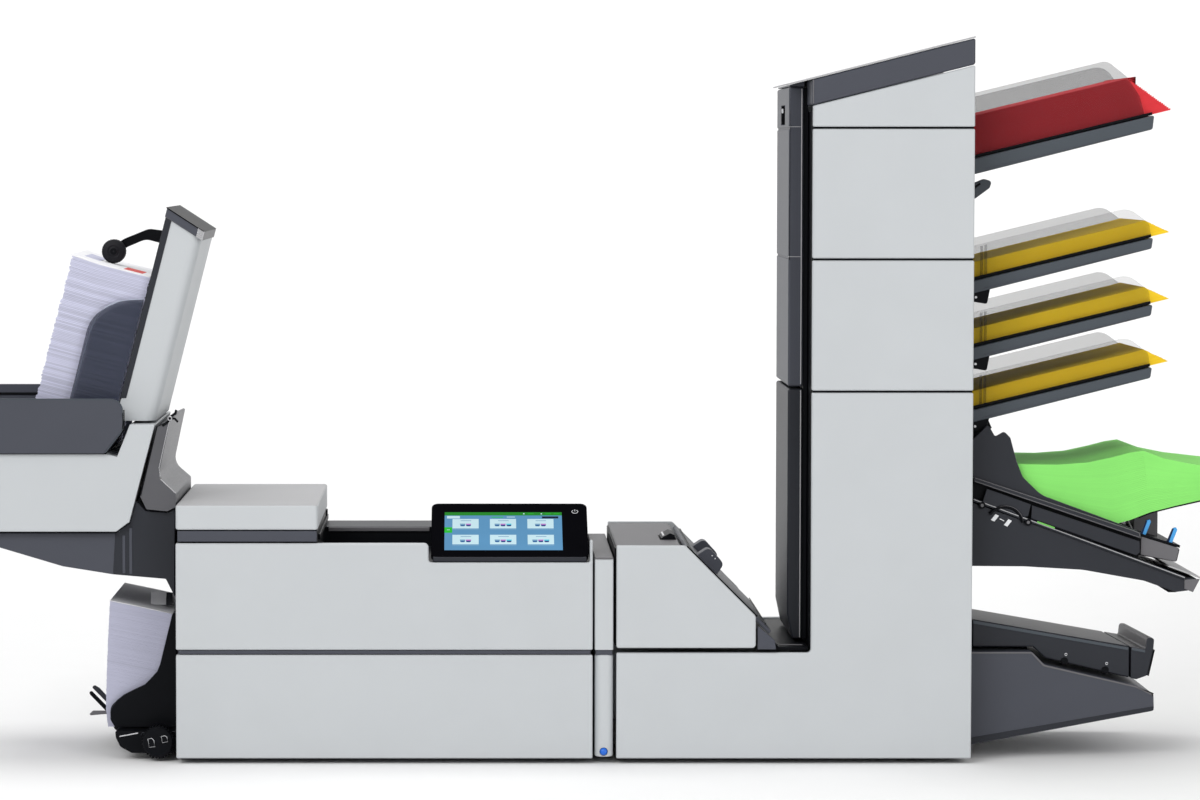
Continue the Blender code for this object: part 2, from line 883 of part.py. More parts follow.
def deflector():
    plate = slab(
        [
            (-547, 440, 1),
            (-530, 448, 2),
            (-546, 372, 20),
            (-522.8, 352, 4),
            (-522.8, 334, 2),
            (-534, 328.3, 3),
            (-561.5, 331, 3),
            (-569.8, 348.2, 3),
        ],
        (-150, 150),
    )
    keep(plate, "deflector_plate", METAL)


# Envelope hopper -----------------------------------------------------------------------------------


def hopper():
    bed = slab(
        [
            (HOPPER_RIGHT, 9),
            (HOPPER_RIGHT, 38),
            (-604, 38, 2),
            (-603, 29, 4),
            (-597, 17, 10),
            (-582, 9, 6),
        ],
        (-150, 150),
    )
    tongue = [(-596, 24), (-596, 38), (-602, 38), (-612, 50), (-622, 50, 2), (-612, 28, 6), (-603, 24, 4)]
    join(bed, slab(tongue, (-60, 60)))
    keep(bed, "hopper_bed", BLACK)
    side = [
        (HOPPER_RIGHT, 40),
        (HOPPER_RIGHT, 192),
        (-528.6, 192, 1),
        (-547.5, 117, 22),
        (-566, 96.5, 20),
        (-594, 83.5, 16),
        (-612, 68, 14),
        (-612, 50, 6),
        (-606, 40, 3),
    ]
    keep(slab(side, (-128, -123)), "hopper_front_guide", BLACK)
    keep(slab(side, (123, 128)), "hopper_rear_guide", BLACK)
    knob = rod(KNOB_AT[0], (-171, -150.5), KNOB_AT[1], KNOB_R, 32)
    bevel(knob, 2)
    keep(pivot(knob, KNOB_AT[0], -151, KNOB_AT[1]), "hopper_knob", BLACK)
    shaft = rod(-619, (-88, 88), 56, 4, 12)
    for y in (-82, 0, 82):
        blade = slab([(-618, 53), (-617, 60), (-640, 92, 3), (-648, 92, 3)], (y - 3, y + 3))
        join(shaft, blade)
    keep(pivot(shaft, -619, 0, 56), "hopper_support", BLACK)


inserter_frame()
inserter_panels()
top_frame()
top_lid()
display()
column()
folder_covers()
slope_cover()
fold_rollers()
collator_trough()
tower_frame()
tower_panels()
rear_cover()
collator()
inner_parts()
feeder_trays()
maxi_feeder()
insert_feeder()
stacker()
backrest()
stacker_guide()
deflector()
hopper()
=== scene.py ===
"""Looks of the folder-inserter: finishes, fine edges, screen, guides, paper and small parts.

Lengths are in millimetres, turned into metres where a mesh is made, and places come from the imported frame.
+X runs along the machine towards the feeder trays, +Y to its back, +Z up.
"""

import json
import random
from math import atan2, cos, pi, radians, sin, tan

import bmesh
import bpy
from mathutils import Matrix, Vector


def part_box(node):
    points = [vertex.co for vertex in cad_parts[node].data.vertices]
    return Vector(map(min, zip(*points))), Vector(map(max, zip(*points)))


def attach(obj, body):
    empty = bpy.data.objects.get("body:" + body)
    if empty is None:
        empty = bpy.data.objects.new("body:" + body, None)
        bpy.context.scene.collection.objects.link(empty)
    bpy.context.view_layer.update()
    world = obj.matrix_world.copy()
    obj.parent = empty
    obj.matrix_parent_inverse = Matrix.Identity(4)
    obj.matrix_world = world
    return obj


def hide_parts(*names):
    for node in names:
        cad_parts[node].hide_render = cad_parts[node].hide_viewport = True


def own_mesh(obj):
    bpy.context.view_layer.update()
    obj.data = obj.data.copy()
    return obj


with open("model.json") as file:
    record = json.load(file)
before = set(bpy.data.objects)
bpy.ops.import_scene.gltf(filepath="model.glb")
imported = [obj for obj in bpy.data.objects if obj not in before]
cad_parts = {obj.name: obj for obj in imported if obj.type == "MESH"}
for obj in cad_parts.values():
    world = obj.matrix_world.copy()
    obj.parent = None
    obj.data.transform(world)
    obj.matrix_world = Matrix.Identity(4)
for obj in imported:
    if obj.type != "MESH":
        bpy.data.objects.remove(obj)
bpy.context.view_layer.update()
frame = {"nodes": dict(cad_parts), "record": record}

MM = 0.001
SEED = 7
ARC_STEPS = 8
BUTTON_X, BUTTON_Z = 38.4, 16.4
KNOB_X, KNOB_Z = -546.2, 26.0
ROLLER_X, ROLLER_Z = -613.8, 667
PAPER_HALF = 118
HOPPER_FLOOR = 39.6


def spans(node):
    """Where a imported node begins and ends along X, Y and Z."""
    return [(small / MM, large / MM) for small, large in zip(*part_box(node))]


# Finishes


def put(node, **values):
    """Set inputs of a shader node; an underscore stands for a space."""
    for name, value in values.items():
        node.inputs[name.replace("_", " ")].default_value = value
    return node


def join(source, output, target, entry):
    """Link an output of one shader node to an input of another."""
    source.id_data.links.new(source.outputs[output], target.inputs[entry])


def finish(name, slot, color, roughness, grain=0.15, pitch=1.1, mottle=0.05, metallic=0.0, specular=0.5):
    """A moulded or painted surface: fine grain as bump, and soft mottling of its colour and its gloss."""
    made = bpy.data.materials.new(name)
    made["slot"] = slot
    made.use_nodes = True
    nodes = made.node_tree.nodes
    surface = nodes["Principled BSDF"]
    place = nodes.new("ShaderNodeTexCoord")
    cloud = put(nodes.new("ShaderNodeTexNoise"), Scale=14.0, Detail=4.0)
    fine = put(nodes.new("ShaderNodeTexNoise"), Scale=1.0 / (pitch * MM), Detail=2.0)
    join(place, "Object", cloud, "Vector")
    join(place, "Object", fine, "Vector")
    ramp = nodes.new("ShaderNodeValToRGB")
    ramp.color_ramp.elements[0].position = 0.3
    ramp.color_ramp.elements[1].position = 0.7
    ramp.color_ramp.elements[0].color = (*(c * (1 - mottle) for c in color), 1.0)
    ramp.color_ramp.elements[1].color = (*(min(c * (1 + mottle), 1.0) for c in color), 1.0)
    join(cloud, "Fac", ramp, "Fac")
    join(ramp, "Color", surface, "Base Color")
    gloss = put(nodes.new("ShaderNodeMapRange"), To_Min=roughness - 0.06, To_Max=roughness + 0.06)
    join(fine, "Fac", gloss, "Value")
    join(gloss, "Result", surface, "Roughness")
    bump = put(nodes.new("ShaderNodeBump"), Strength=grain, Distance=0.2 * MM)
    join(fine, "Fac", bump, "Height")
    join(bump, "Normal", surface, "Normal")
    put(surface, Metallic=metallic, Specular_IOR_Level=specular)
    return made


def brushed(name, color, roughness):
    """Sheet metal with fine scratches that run along Y."""
    made = finish(name, "zinc_plate", color, roughness, grain=0.1, pitch=0.6, metallic=1.0)
    nodes = made.node_tree.nodes
    stretch = put(nodes.new("ShaderNodeMapping"), Scale=(1.0, 0.02, 1.0))
    fine = next(n for n in nodes if n.type == "TEX_NOISE" and n.inputs["Scale"].default_value > 100)
    join(nodes["Texture Coordinate"], "Object", stretch, "Vector")
    join(stretch, "Vector", fine, "Vector")
    return made


def acrylic(name, color, cover, specular=0.4):
    """Clear or smoked sheet: mostly see-through, more solid where it is seen edge on."""
    made = finish(name, "clear_guide", color, 0.16, grain=0.0, pitch=60.0, mottle=0.03, specular=specular)
    nodes = made.node_tree.nodes
    facing = put(nodes.new("ShaderNodeLayerWeight"), Blend=0.2)
    share = put(nodes.new("ShaderNodeMapRange"), To_Min=cover, To_Max=min(cover + 0.4, 1.0))
    join(facing, "Facing", share, "Value")
    join(share, "Result", nodes["Principled BSDF"], "Alpha")
    return made


def lit(name, color):
    """A lit patch of the screen: its light comes from itself, with a slight unevenness."""
    made = finish(name, "screen_glass", color, 0.3, grain=0.0, mottle=0.05, specular=0.0)
    nodes, links = made.node_tree.nodes, made.node_tree.links
    surface = nodes["Principled BSDF"]
    ramp = next(n for n in nodes if n.type == "VALTORGB")
    links.remove(surface.inputs["Base Color"].links[0])
    put(surface, Base_Color=(0.01, 0.01, 0.01, 1.0))
    join(ramp, "Color", surface, "Emission Color")
    put(surface, Emission_Strength=1.0)
    return made


def paper(name, color, layer=0.35):
    """Paper seen from its cut edges and its face: thin layers, slightly uneven in tone."""
    made = finish(name, "light_panel", color, 0.75, grain=0.2, pitch=0.5, mottle=0.04, specular=0.25)
    nodes = made.node_tree.nodes
    surface = nodes["Principled BSDF"]
    tone = nodes.new("ShaderNodeAttribute")
    tone.attribute_name = "tone"
    shade = nodes.new("ShaderNodeMix")
    shade.data_type = "RGBA"
    shade.blend_type = "MULTIPLY"
    put(shade, Factor=layer)
    ramp = next(n for n in nodes if n.type == "VALTORGB")
    join(ramp, "Color", shade, "A")
    join(tone, "Color", shade, "B")
    join(shade, "Result", surface, "Base Color")
    return made


PANEL = finish("panel_paint", "light_panel", (0.487, 0.508, 0.524), 0.5, grain=0.08, mottle=0.012)
# Top grey: on the lid's top it is painted shade, and on the large feeder's rail it is a painted highlight.
TOP_GREY = finish("top_grey", "lid_grey", (0.39, 0.39, 0.40), 0.5, grain=0.08, mottle=0.012)
# Charcoal plastic; its thin strips and wires on the deck ledge and on the large feeder are painted
# highlights.
CHARCOAL = finish("charcoal_plastic", "dark_cover", (0.115, 0.112, 0.12), 0.5, mottle=0.03)
TRAY_GREY = finish("tray_grey", "dark_cover", (0.052, 0.063, 0.076), 0.42, mottle=0.03, specular=0.35)
SLATE = finish("slate_plastic", "dark_cover", (0.053, 0.057, 0.073), 0.45, mottle=0.03, specular=0.35)
# Deep slate: on the deck ledge's top it is painted light, on the lower collator painted shade, and on the
# hopper guides' rims painted highlights.
DEEP = finish("deep_slate", "dark_cover", (0.02, 0.022, 0.0285), 0.45, mottle=0.04, specular=0.25)
BLACK = finish("black_plastic", "black_plastic", (0.004, 0.0045, 0.006), 0.42, specular=0.07)
# Painted shade: the brushed zinc made darker for the deflector plate, which sits in shade.
SHADED_ZINC = brushed("zinc_painted_shade", (0.13, 0.13, 0.14), 0.42)
ZINC = brushed("zinc_sheet", (0.36, 0.37, 0.39), 0.38)
STEEL = brushed("bright_steel", (0.62, 0.62, 0.64), 0.28)
RUBBER = finish(
    "roller_rubber", "roller_rubber", (0.008, 0.008, 0.011), 0.55, grain=0.4, pitch=0.8, specular=0.2,
)
BLUE = finish("blue_plastic", "blue_plastic", (0.01, 0.13, 0.62), 0.25, grain=0.05)
SKY_BLUE = finish("sky_blue_plastic", "blue_plastic", (0.05, 0.33, 0.72), 0.35, grain=0.05)
# Painted shade: the lever's blue made darker, for the shaded side of the large feeder's lever blades.
SHADED_BLUE = finish("blue_plastic_painted_shade", "blue_plastic", (0.004, 0.018, 0.07), 0.4, grain=0.05, specular=0.2)
ENAMEL = finish("drive_enamel", "drive_paint", (0.16, 0.17, 0.18), 0.45, grain=0.4, pitch=2.0)
WHITE = finish("white_marks", "light_panel", (0.75, 0.76, 0.78), 0.5, grain=0.05, mottle=0.02)
CLEAR = acrylic("clear_acrylic", (0.02, 0.018, 0.022), 0.24, 0.1)
# Painted light: the same acrylic with less cover, so paper seen through the low near guides is not darkened
# by the shadow the guide casts on it.
LIGHTENED_CLEAR = acrylic("clear_acrylic_lightened", (0.02, 0.018, 0.022), 0.12, 0.1)
SMOKE = acrylic("smoked_acrylic", (0.02, 0.028, 0.055), 0.5)
GLASS = finish("screen_glass", "screen_glass", (0.003, 0.003, 0.004), 0.3, grain=0.0, specular=0.0)
# Painted highlight: a paler finish for the smoked guide's rim.
SMOKE_EDGE_HIGHLIGHT = finish("smoked_edge_highlight", "clear_guide", (0.30, 0.33, 0.42), 0.3, grain=0.0)
SKY = lit("picture_blue", (0.107, 0.296, 0.515))
CARD = lit("picture_card", (0.58, 0.80, 0.87))
BAR_GREEN = lit("picture_green", (0.015, 0.24, 0.02))
TAB_GREEN = lit("picture_tab", (0.02, 0.50, 0.03))
NIGHT = lit("picture_night", (0.004, 0.01, 0.03))
LINE_BLUE = lit("picture_line", (0.20, 0.38, 0.56))
CUP_BLUE = lit("picture_cup_blue", (0.03, 0.13, 0.32))
CUP_PINK = lit("picture_cup_pink", (0.52, 0.22, 0.62))
CUP_CYAN = lit("picture_cup_cyan", (0.10, 0.62, 0.78))
CUP_NIGHT = lit("picture_cup_night", (0.02, 0.05, 0.22))
YELLOW = paper("yellow_paper", (0.88, 0.60, 0.02))
RED = paper("red_paper", (0.70, 0.035, 0.045))
GREEN = paper("green_paper", (0.247, 0.74, 0.155))
ENVELOPE = paper("envelope_paper", (0.57, 0.575, 0.72), layer=0.6)
RED_INK = paper("red_ink", (0.62, 0.10, 0.09))
WHITE_PAPER = paper("white_paper", (0.78, 0.78, 0.80))

FINISHES = {
    "light_panel": PANEL,
    "lid_grey": TOP_GREY,
    "dark_cover": SLATE,
    "black_plastic": BLACK,
    "zinc_plate": ZINC,
    "roller_rubber": RUBBER,
    "clear_guide": CLEAR,
    "screen_glass": GLASS,
    "blue_plastic": BLUE,
    "drive_paint": ENAMEL,
}
NODE_SLOT = {part["node"]: part["material_slot"] for part in frame["record"]["subparts"]}
NODE_BODY = {node: body for body, nodes in frame["record"]["behaviour"]["bodies"].items() for node in nodes}


# Shapes

# The first two axes of an outline become X and Z, Y and Z, or X and Y.
STANDING = Matrix(((1, 0, 0, 0), (0, 0, 1, 0), (0, 1, 0, 0), (0, 0, 0, 1)))
SIDEWAYS = Matrix(((0, 0, 1, 0), (1, 0, 0, 0), (0, 1, 0, 0), (0, 0, 0, 1)))
LYING = Matrix.Identity(4)


def at(x, y, z):
    return Matrix.Translation(Vector((x, y, z)) * MM)


def rounded(points):
    """The outline with each corner that has a third value, its radius, made an arc."""
    path = []
    for i, point in enumerate(points):
        here = Vector(point[:2])
        if len(point) < 3:
            path.append(here)
            continue
        before = (Vector(points[i - 1][:2]) - here).normalized()
        after = (Vector(points[(i + 1) % len(points)][:2]) - here).normalized()
        half = before.angle(after) / 2
        centre = here + (before + after).normalized() * (point[2] / sin(half))
        first = (here + before * (point[2] / tan(half)) - centre).normalized()
        last = (here + after * (point[2] / tan(half)) - centre).normalized()
        for step in range(ARC_STEPS + 1):
            path.append(centre + first.slerp(last, step / ARC_STEPS) * point[2])
    return path


def rectangle(x, z, radius=None):
    corners = ((x[0], z[0]), (x[1], z[0]), (x[1], z[1]), (x[0], z[1]))
    return [(*corner, radius) if radius else corner for corner in corners]


def round_edges(solid, edges, width, steps):
    bmesh.ops.bevel(
        solid, geom=edges, offset=width * MM, segments=steps, profile=0.5, affect="EDGES",
        clamp_overlap=True,
    )


def placed(solid, place):
    bmesh.ops.transform(solid, matrix=place, verts=solid.verts)
    bmesh.ops.recalc_face_normals(solid, faces=solid.faces)
    return solid


def prism(outline, ends, edge=1.0, place=STANDING, steps=3):
    """An outline made thick between two values of its third axis, with its two rims rounded off."""
    solid = bmesh.new()
    corners = [solid.verts.new((p.x * MM, p.y * MM, ends[0] * MM)) for p in rounded(outline)]
    base = solid.faces.new(corners)
    grown = bmesh.ops.extrude_face_region(solid, geom=[base])
    top = [v for v in grown["geom"] if isinstance(v, bmesh.types.BMVert)]
    bmesh.ops.translate(solid, vec=(0, 0, (ends[1] - ends[0]) * MM), verts=top)
    if edge:
        solid.normal_update()
        rims = {e for f in solid.faces if abs(f.normal.z) > 0.99 for e in f.edges}
        round_edges(solid, list(rims), edge, steps)
    return placed(solid, place)


def plate(outline, near, far, edge, look):
    """A prism that stands upright between two depths, paired with its finish."""
    return prism(outline, (near, far), edge), look


def box(x, y, z, edge=1.0, steps=3):
    solid = bmesh.new()
    bmesh.ops.create_cube(solid, size=1.0)
    small, large = Vector((x[0], y[0], z[0])) * MM, Vector((x[1], y[1], z[1])) * MM
    bmesh.ops.scale(solid, vec=large - small, verts=solid.verts)
    bmesh.ops.translate(solid, vec=(small + large) / 2, verts=solid.verts)
    if edge:
        round_edges(solid, solid.edges[:], edge, steps)
    return solid


def turned(profile, place, sides=48):
    """A profile of radius and height pairs, from one end to the other, turned about its axis."""
    solid = bmesh.new()
    rings = []
    for radius, height in profile:
        if radius == 0:
            rings.append([solid.verts.new((0, 0, height * MM))])
            continue
        angles = [2 * pi * i / sides for i in range(sides)]
        rings.append([
            solid.verts.new((cos(a) * radius * MM, sin(a) * radius * MM, height * MM))
            for a in angles
        ])
    for lower, upper in zip(rings, rings[1:]):
        for i in range(sides):
            corners = [lower[i % len(lower)], lower[(i + 1) % len(lower)]]
            corners += [upper[(i + 1) % len(upper)], upper[i % len(upper)]]
            solid.faces.new(list(dict.fromkeys(corners)))
    for ring in (rings[0], rings[-1]):
        if len(ring) > 1:
            solid.faces.new(ring)
    return placed(solid, place)


ALONG_Y = Matrix.Rotation(radians(-90), 4, "X")
ALONG_X = Matrix.Rotation(radians(90), 4, "Y")


def rod(middle, ends, radius, edge=0.6, sides=40, turn=ALONG_Y):
    """A cylinder with rounded rims; ends are measured from its middle along its axis."""
    profile = [
        (radius - edge, ends[0]), (radius, ends[0] + edge), (radius, ends[1] - edge),
        (radius - edge, ends[1]),
    ]
    return turned(profile, at(*middle) @ turn, sides)


def wire(points, radius, sides=8):
    """A round wire along a list of points."""
    solid = bmesh.new()
    path = [Vector(p) * MM for p in points]
    rings = []
    for i, point in enumerate(path):
        ahead = (path[min(i + 1, len(path) - 1)] - path[max(i - 1, 0)]).normalized()
        turn = ahead.to_track_quat("Z", "X")
        angles = [2 * pi * k / sides for k in range(sides)]
        rings.append([
            solid.verts.new(point + turn @ (Vector((cos(a), sin(a), 0)) * radius * MM))
            for a in angles
        ])
    for lower, upper in zip(rings, rings[1:]):
        for i in range(sides):
            k = (i + 1) % sides
            solid.faces.new((lower[i], lower[k], upper[k], upper[i]))
    solid.faces.new(rings[0])
    solid.faces.new(rings[-1])
    bmesh.ops.recalc_face_normals(solid, faces=solid.faces)
    return solid


def flat_wire(points, y, radius, sides=8):
    """A wire that stays at one Y."""
    return wire([(x, y, z) for x, z in points], radius, sides)


def circle(x, z, radius, degrees):
    """Points on a circle seen from the front."""
    return [(x + radius * cos(radians(a)), z + radius * sin(radians(a))) for a in degrees]


def pile(leaves, place=STANDING):
    """Thin closed leaves in one mesh: each has its path, its thickness, its two ends and its tone.

    A point of a path may carry its own thickness as a third value.
    """
    solid = bmesh.new()
    tone = solid.verts.layers.float_color.new("tone")
    for path, thickness, ends, shade in leaves:
        rows = []
        for x, z, *own in path:
            top = z + (own[0] if own else thickness)
            corners = [(x, z, ends[0]), (x, z, ends[1]), (x, top, ends[1]), (x, top, ends[0])]
            rows.append([solid.verts.new(Vector(corner) * MM) for corner in corners])
            for vert in rows[-1]:
                vert[tone] = (shade, shade, shade, 1.0)
        for first, second in zip(rows, rows[1:]):
            for i in range(4):
                k = (i + 1) % 4
                solid.faces.new((first[i], first[k], second[k], second[i]))
        solid.faces.new(rows[0])
        solid.faces.new(rows[-1])
    return placed(solid, place)


def to_object(name, solid):
    mesh = bpy.data.meshes.new(name)
    solid.to_mesh(mesh)
    solid.free()
    obj = bpy.data.objects.new(name, mesh)
    bpy.context.scene.collection.objects.link(obj)
    return obj


def carve(solid, *cutters):
    """The solid with the cutters taken away from it."""
    body = to_object("body", solid)
    tools = [to_object("cutter", cutter) for cutter in cutters]
    for tool in tools:
        step = body.modifiers.new("cut", "BOOLEAN")
        step.operation = "DIFFERENCE"
        step.object = tool
    graph = bpy.context.evaluated_depsgraph_get()
    mesh = bpy.data.meshes.new_from_object(body.evaluated_get(graph))
    for obj in (body, *tools):
        bpy.data.objects.remove(obj, do_unlink=True)
    made = bmesh.new()
    made.from_mesh(mesh)
    bpy.data.meshes.remove(mesh)
    return made


def add(name, parts, body="machine", stands_for=(), sharp=36):
    """One piece from pairs of shape and finish, riding on a body."""
    if not isinstance(parts, list):
        parts = [parts]
    whole = bmesh.new()
    finishes = []
    for solid, look in parts:
        if look not in finishes:
            finishes.append(look)
        for face in solid.faces:
            face.material_index = finishes.index(look)
        scratch = bpy.data.meshes.new("scratch")
        solid.to_mesh(scratch)
        solid.free()
        whole.from_mesh(scratch)
        bpy.data.meshes.remove(scratch)
    obj = to_object(name, whole)
    for look in finishes:
        obj.data.materials.append(look)
    obj.data.shade_smooth()
    obj.data.set_sharp_from_angle(angle=radians(sharp))
    even = obj.modifiers.new("even_normals", "WEIGHTED_NORMAL")
    even.keep_sharp = True
    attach(obj, body)
    if stands_for:
        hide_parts(*stands_for)
    return obj


def softened(node, width=0.5, steps=2, angle=25):
    """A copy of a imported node's shape with its triangles merged and its edges rounded off finely."""
    solid = bmesh.new()
    solid.from_mesh(frame["nodes"][node].data)
    bmesh.ops.remove_doubles(solid, verts=solid.verts, dist=0.002 * MM)
    bmesh.ops.dissolve_limit(
        solid, angle_limit=radians(1), verts=solid.verts, edges=solid.edges, use_dissolve_boundaries=False,
    )
    sharp = [e for e in solid.edges if e.is_manifold and e.calc_face_angle(0) > radians(angle)]
    round_edges(solid, sharp, width, steps)
    return solid


def renew(node, parts):
    """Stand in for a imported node, on the node's own body."""
    return add(f"{node}_fine", parts, NODE_BODY[node], [node])


def refine(node, look=None, width=0.5, extra=(), steps=2):
    """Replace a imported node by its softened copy, with any extra shapes added to it."""
    look = look or FINISHES[NODE_SLOT[node]]
    return renew(node, [(softened(node, width, steps), look), *extra])


def tint(piece, look, test):
    """Give another finish to the faces whose middle, in millimetres, and normal pass the test."""
    piece.data.materials.append(look)
    for face in piece.data.polygons:
        if test(face.center / MM, face.normal):
            face.material_index = len(piece.data.materials) - 1


# Cabinet


def lid():
    """The lid as a shell with ribs inside, and its hinge knuckles on the cabinet."""
    x, y, z = spans("top_lid")
    shell = prism(rectangle(x, y, 5), z, 3.0, LYING, 5)
    inner = box((x[0] + 5, x[1] - 5), (y[0] + 5, y[1] - 5), (z[0] - 5, z[1] - 4), 2.0)
    ribs = [
        (box((at_x, at_x + 2), (y[0] + 6, y[1] - 6), (z[1] - 14, z[1] - 3), 0.5), PANEL)
        for at_x in (-475, -429, -383)
    ]
    cross = [
        (box((x[0] + 6, x[1] - 6), (at_y, at_y + 2), (z[1] - 12, z[1] - 3), 0.5), PANEL)
        for at_y in (-110, -10, 90)
    ]
    piece = renew("top_lid", [(carve(shell, inner), PANEL), *ribs, *cross])
    # Painted shade: the lid's upward faces take a darker grey than its front, though both are the same
    # paint.
    tint(piece, TOP_GREY, lambda middle, normal: normal.z > 0.6 and middle.z > z[1] - 1)
    knuckles = [
        (rod((at_x, y[1] + 2, z[0] - 1), (-16, 16), 3.6, turn=ALONG_X), BLACK)
        for at_x in (-480, -375)
    ]
    add("lid_hinge_knuckles", [*knuckles, (box((-339, -334), (138, 166), (290, 306), 1.0), BLACK)])


def cabinet():
    for node in ("inserter_upper_panel", "inserter_lower_panel"):
        refine(node, width=0.9)
    top = refine("top_frame", BLACK, width=1.2)
    # Painted light: the ledge's upward faces get a lighter dark finish than the black frame, standing in for
    # their lit top.
    tint(top, DEEP, lambda middle, normal: normal.z > 0.6 and middle.y > 60)
    add("lid_band", [
        (box((-518.4, -336.4), (-187, -183.6), (291.6, 305.8), 0.8), SLATE),
        (box((-336.4, -333.2), (-150, 168), (291.6, 298.5), 0.8), BLACK),
    ])
    add("cabinet_seam_strip", (box((-517, 21), (-187.5, -179), (144.2, 149.2), 0.6), SLATE))
    add("deck_details", [
        # Painted highlight: a charcoal strip along the ledge's upper front edge.
        (box((-330, -192), (66.5, 70.2), (283, 288.6), 1.0), CHARCOAL),
        (box((-326, -196), (-20, 60), (261.8, 263.2), 0.6), DEEP),
        *[(rod((-300 + 26 * i, 30, 266), (-14, 14), 5, turn=ALONG_X), RUBBER) for i in (0, 2, 3)],
        (rod((-262, 30, 266), (-62, 66), 2.4, turn=ALONG_X), STEEL),
    ])


SCREEN_TILT = radians(28.94)
LIT_X, LIT_Y = (-85.6, 69.4), (-44.4, 44.6)


def screen_place():
    """The middle of the glass, with X to the right and the outline's second axis up the slope."""
    small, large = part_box("display_panel")
    return Matrix.Translation((small + large) / 2) @ Matrix.Rotation(SCREEN_TILT, 4, "X")


def lit_patch(across, down, height, look, radius=None):
    """A patch of the screen from fractions of its width, and of its height from the top."""
    wide, tall = LIT_X[1] - LIT_X[0], LIT_Y[1] - LIT_Y[0]
    x = [LIT_X[0] + share * wide for share in across]
    y = [LIT_Y[1] - share * tall for share in reversed(down)]
    return prism(rectangle(x, y, radius), (height - 0.1, height), 0, screen_place()), look


def cup_icon(x, y, height, body, liquid):
    """A small cup: a wide rim over a rounded bowl."""
    bowl = [(x - 3.6, y + 2.6), (x - 2.7, y - 3.6, 1.8), (x + 2.7, y - 3.6, 1.8), (x + 3.6, y + 2.6)]
    fill = [(x - 3.3, y - 0.2), (x - 2.7, y - 3.6, 1.8), (x + 2.7, y - 3.6, 1.8), (x + 3.3, y - 0.2)]
    return [
        (prism(bowl, (height, height + 0.08), 0, screen_place()), body),
        (prism(fill, (height, height + 0.14), 0, screen_place()), liquid),
    ]


def screen():
    slope = screen_place()
    left, right = spans("display_housing")[0]
    half, reach = (right - left) / 2, 59.4
    slab = prism(rectangle((-half, half), (-reach, reach + 7.5), 9), (-7.5, 1.4), 1.8, slope, 5)
    side = [(-186, 265.4, 1), (-186, 271.5, 2), (-92, 322), (-64, 322, 4), (-58, 265.4)]
    foot = prism(side, (left + 2, right - 2), 1.0, SIDEWAYS)
    lip = prism([
        (-188.3, 265.6, 1), (-188.3, 271.6, 1.5), (-184, 272.5), (-184, 265.6),
    ], (left + 3, right - 3), 0.8, SIDEWAYS)
    add(
        "screen_tablet", [(slab, GLASS), (foot, BLACK), (lip, DEEP)],
        stands_for=["display_housing", "display_panel"],
    )
    lights = [
        lit_patch((0, 1), (0, 1), 1.5, SKY),
        lit_patch((0, 1), (0, 0.085), 1.6, BAR_GREEN),
        lit_patch((0.02, 0.13), (0.10, 0.165), 1.6, CARD),
        lit_patch((0.40, 0.50), (0.12, 0.14), 1.6, TAB_GREEN),
        lit_patch((0.53, 0.60), (0.12, 0.135), 1.6, CARD),
        lit_patch((0.83, 0.97), (0.11, 0.165), 1.6, NIGHT),
        lit_patch((0, 0.065), (0.40, 0.545), 1.6, TAB_GREEN),
        lit_patch((0.02, 0.045), (0.465, 0.475), 1.7, CARD),
        *[lit_patch((x, x + 0.012), (0.03, 0.055), 1.7, CARD) for x in (0.67, 0.82)],
        *[lit_patch((x, x + 0.05), (0.035, 0.048), 1.7, TAB_GREEN) for x in (0.71, 0.86, 0.93)],
    ]
    icons = []
    wide, tall = LIT_X[1] - LIT_X[0], LIT_Y[1] - LIT_Y[0]
    for down, counts in ((0.18, (2, 3, 2)), (0.60, (2, 3, 3))):
        for column, count in enumerate(counts):
            across = 0.067 + 0.319 * column
            lights.append(lit_patch((across, across + 0.223), (down, down + 0.25), 1.6, CARD))
            lights.append(lit_patch((across, across + 0.223), (down + 0.275, down + 0.285), 1.6, LINE_BLUE))
            lights.append(
                lit_patch((across + 0.07, across + 0.16), (down + 0.04, down + 0.055), 1.7, LINE_BLUE),
            )
            for number in range(count):
                share = across + 0.1115 + (number - (count - 1) / 2) * 0.05
                middle = (LIT_X[0] + share * wide, LIT_Y[1] - (down + 0.155) * tall)
                colors = ((LINE_BLUE, CUP_BLUE), (CUP_PINK, CUP_NIGHT), (CUP_CYAN, CUP_NIGHT))[number]
                icons += cup_icon(*middle, 1.62, *colors)
    add("screen_picture", lights)
    add("screen_icons", icons)
    ring = [(87 + 4 * sin(radians(a)), 46 + 4 * cos(radians(a)), 1.55) for a in range(35, 326, 15)]
    mark = [(wire(ring, 0.35), WHITE), (wire([(87, 46.5, 1.55), (87, 51, 1.55)], 0.35), WHITE)]
    for shape, _ in mark:
        bmesh.ops.transform(shape, matrix=slope, verts=shape.verts)
    add("power_mark", mark)


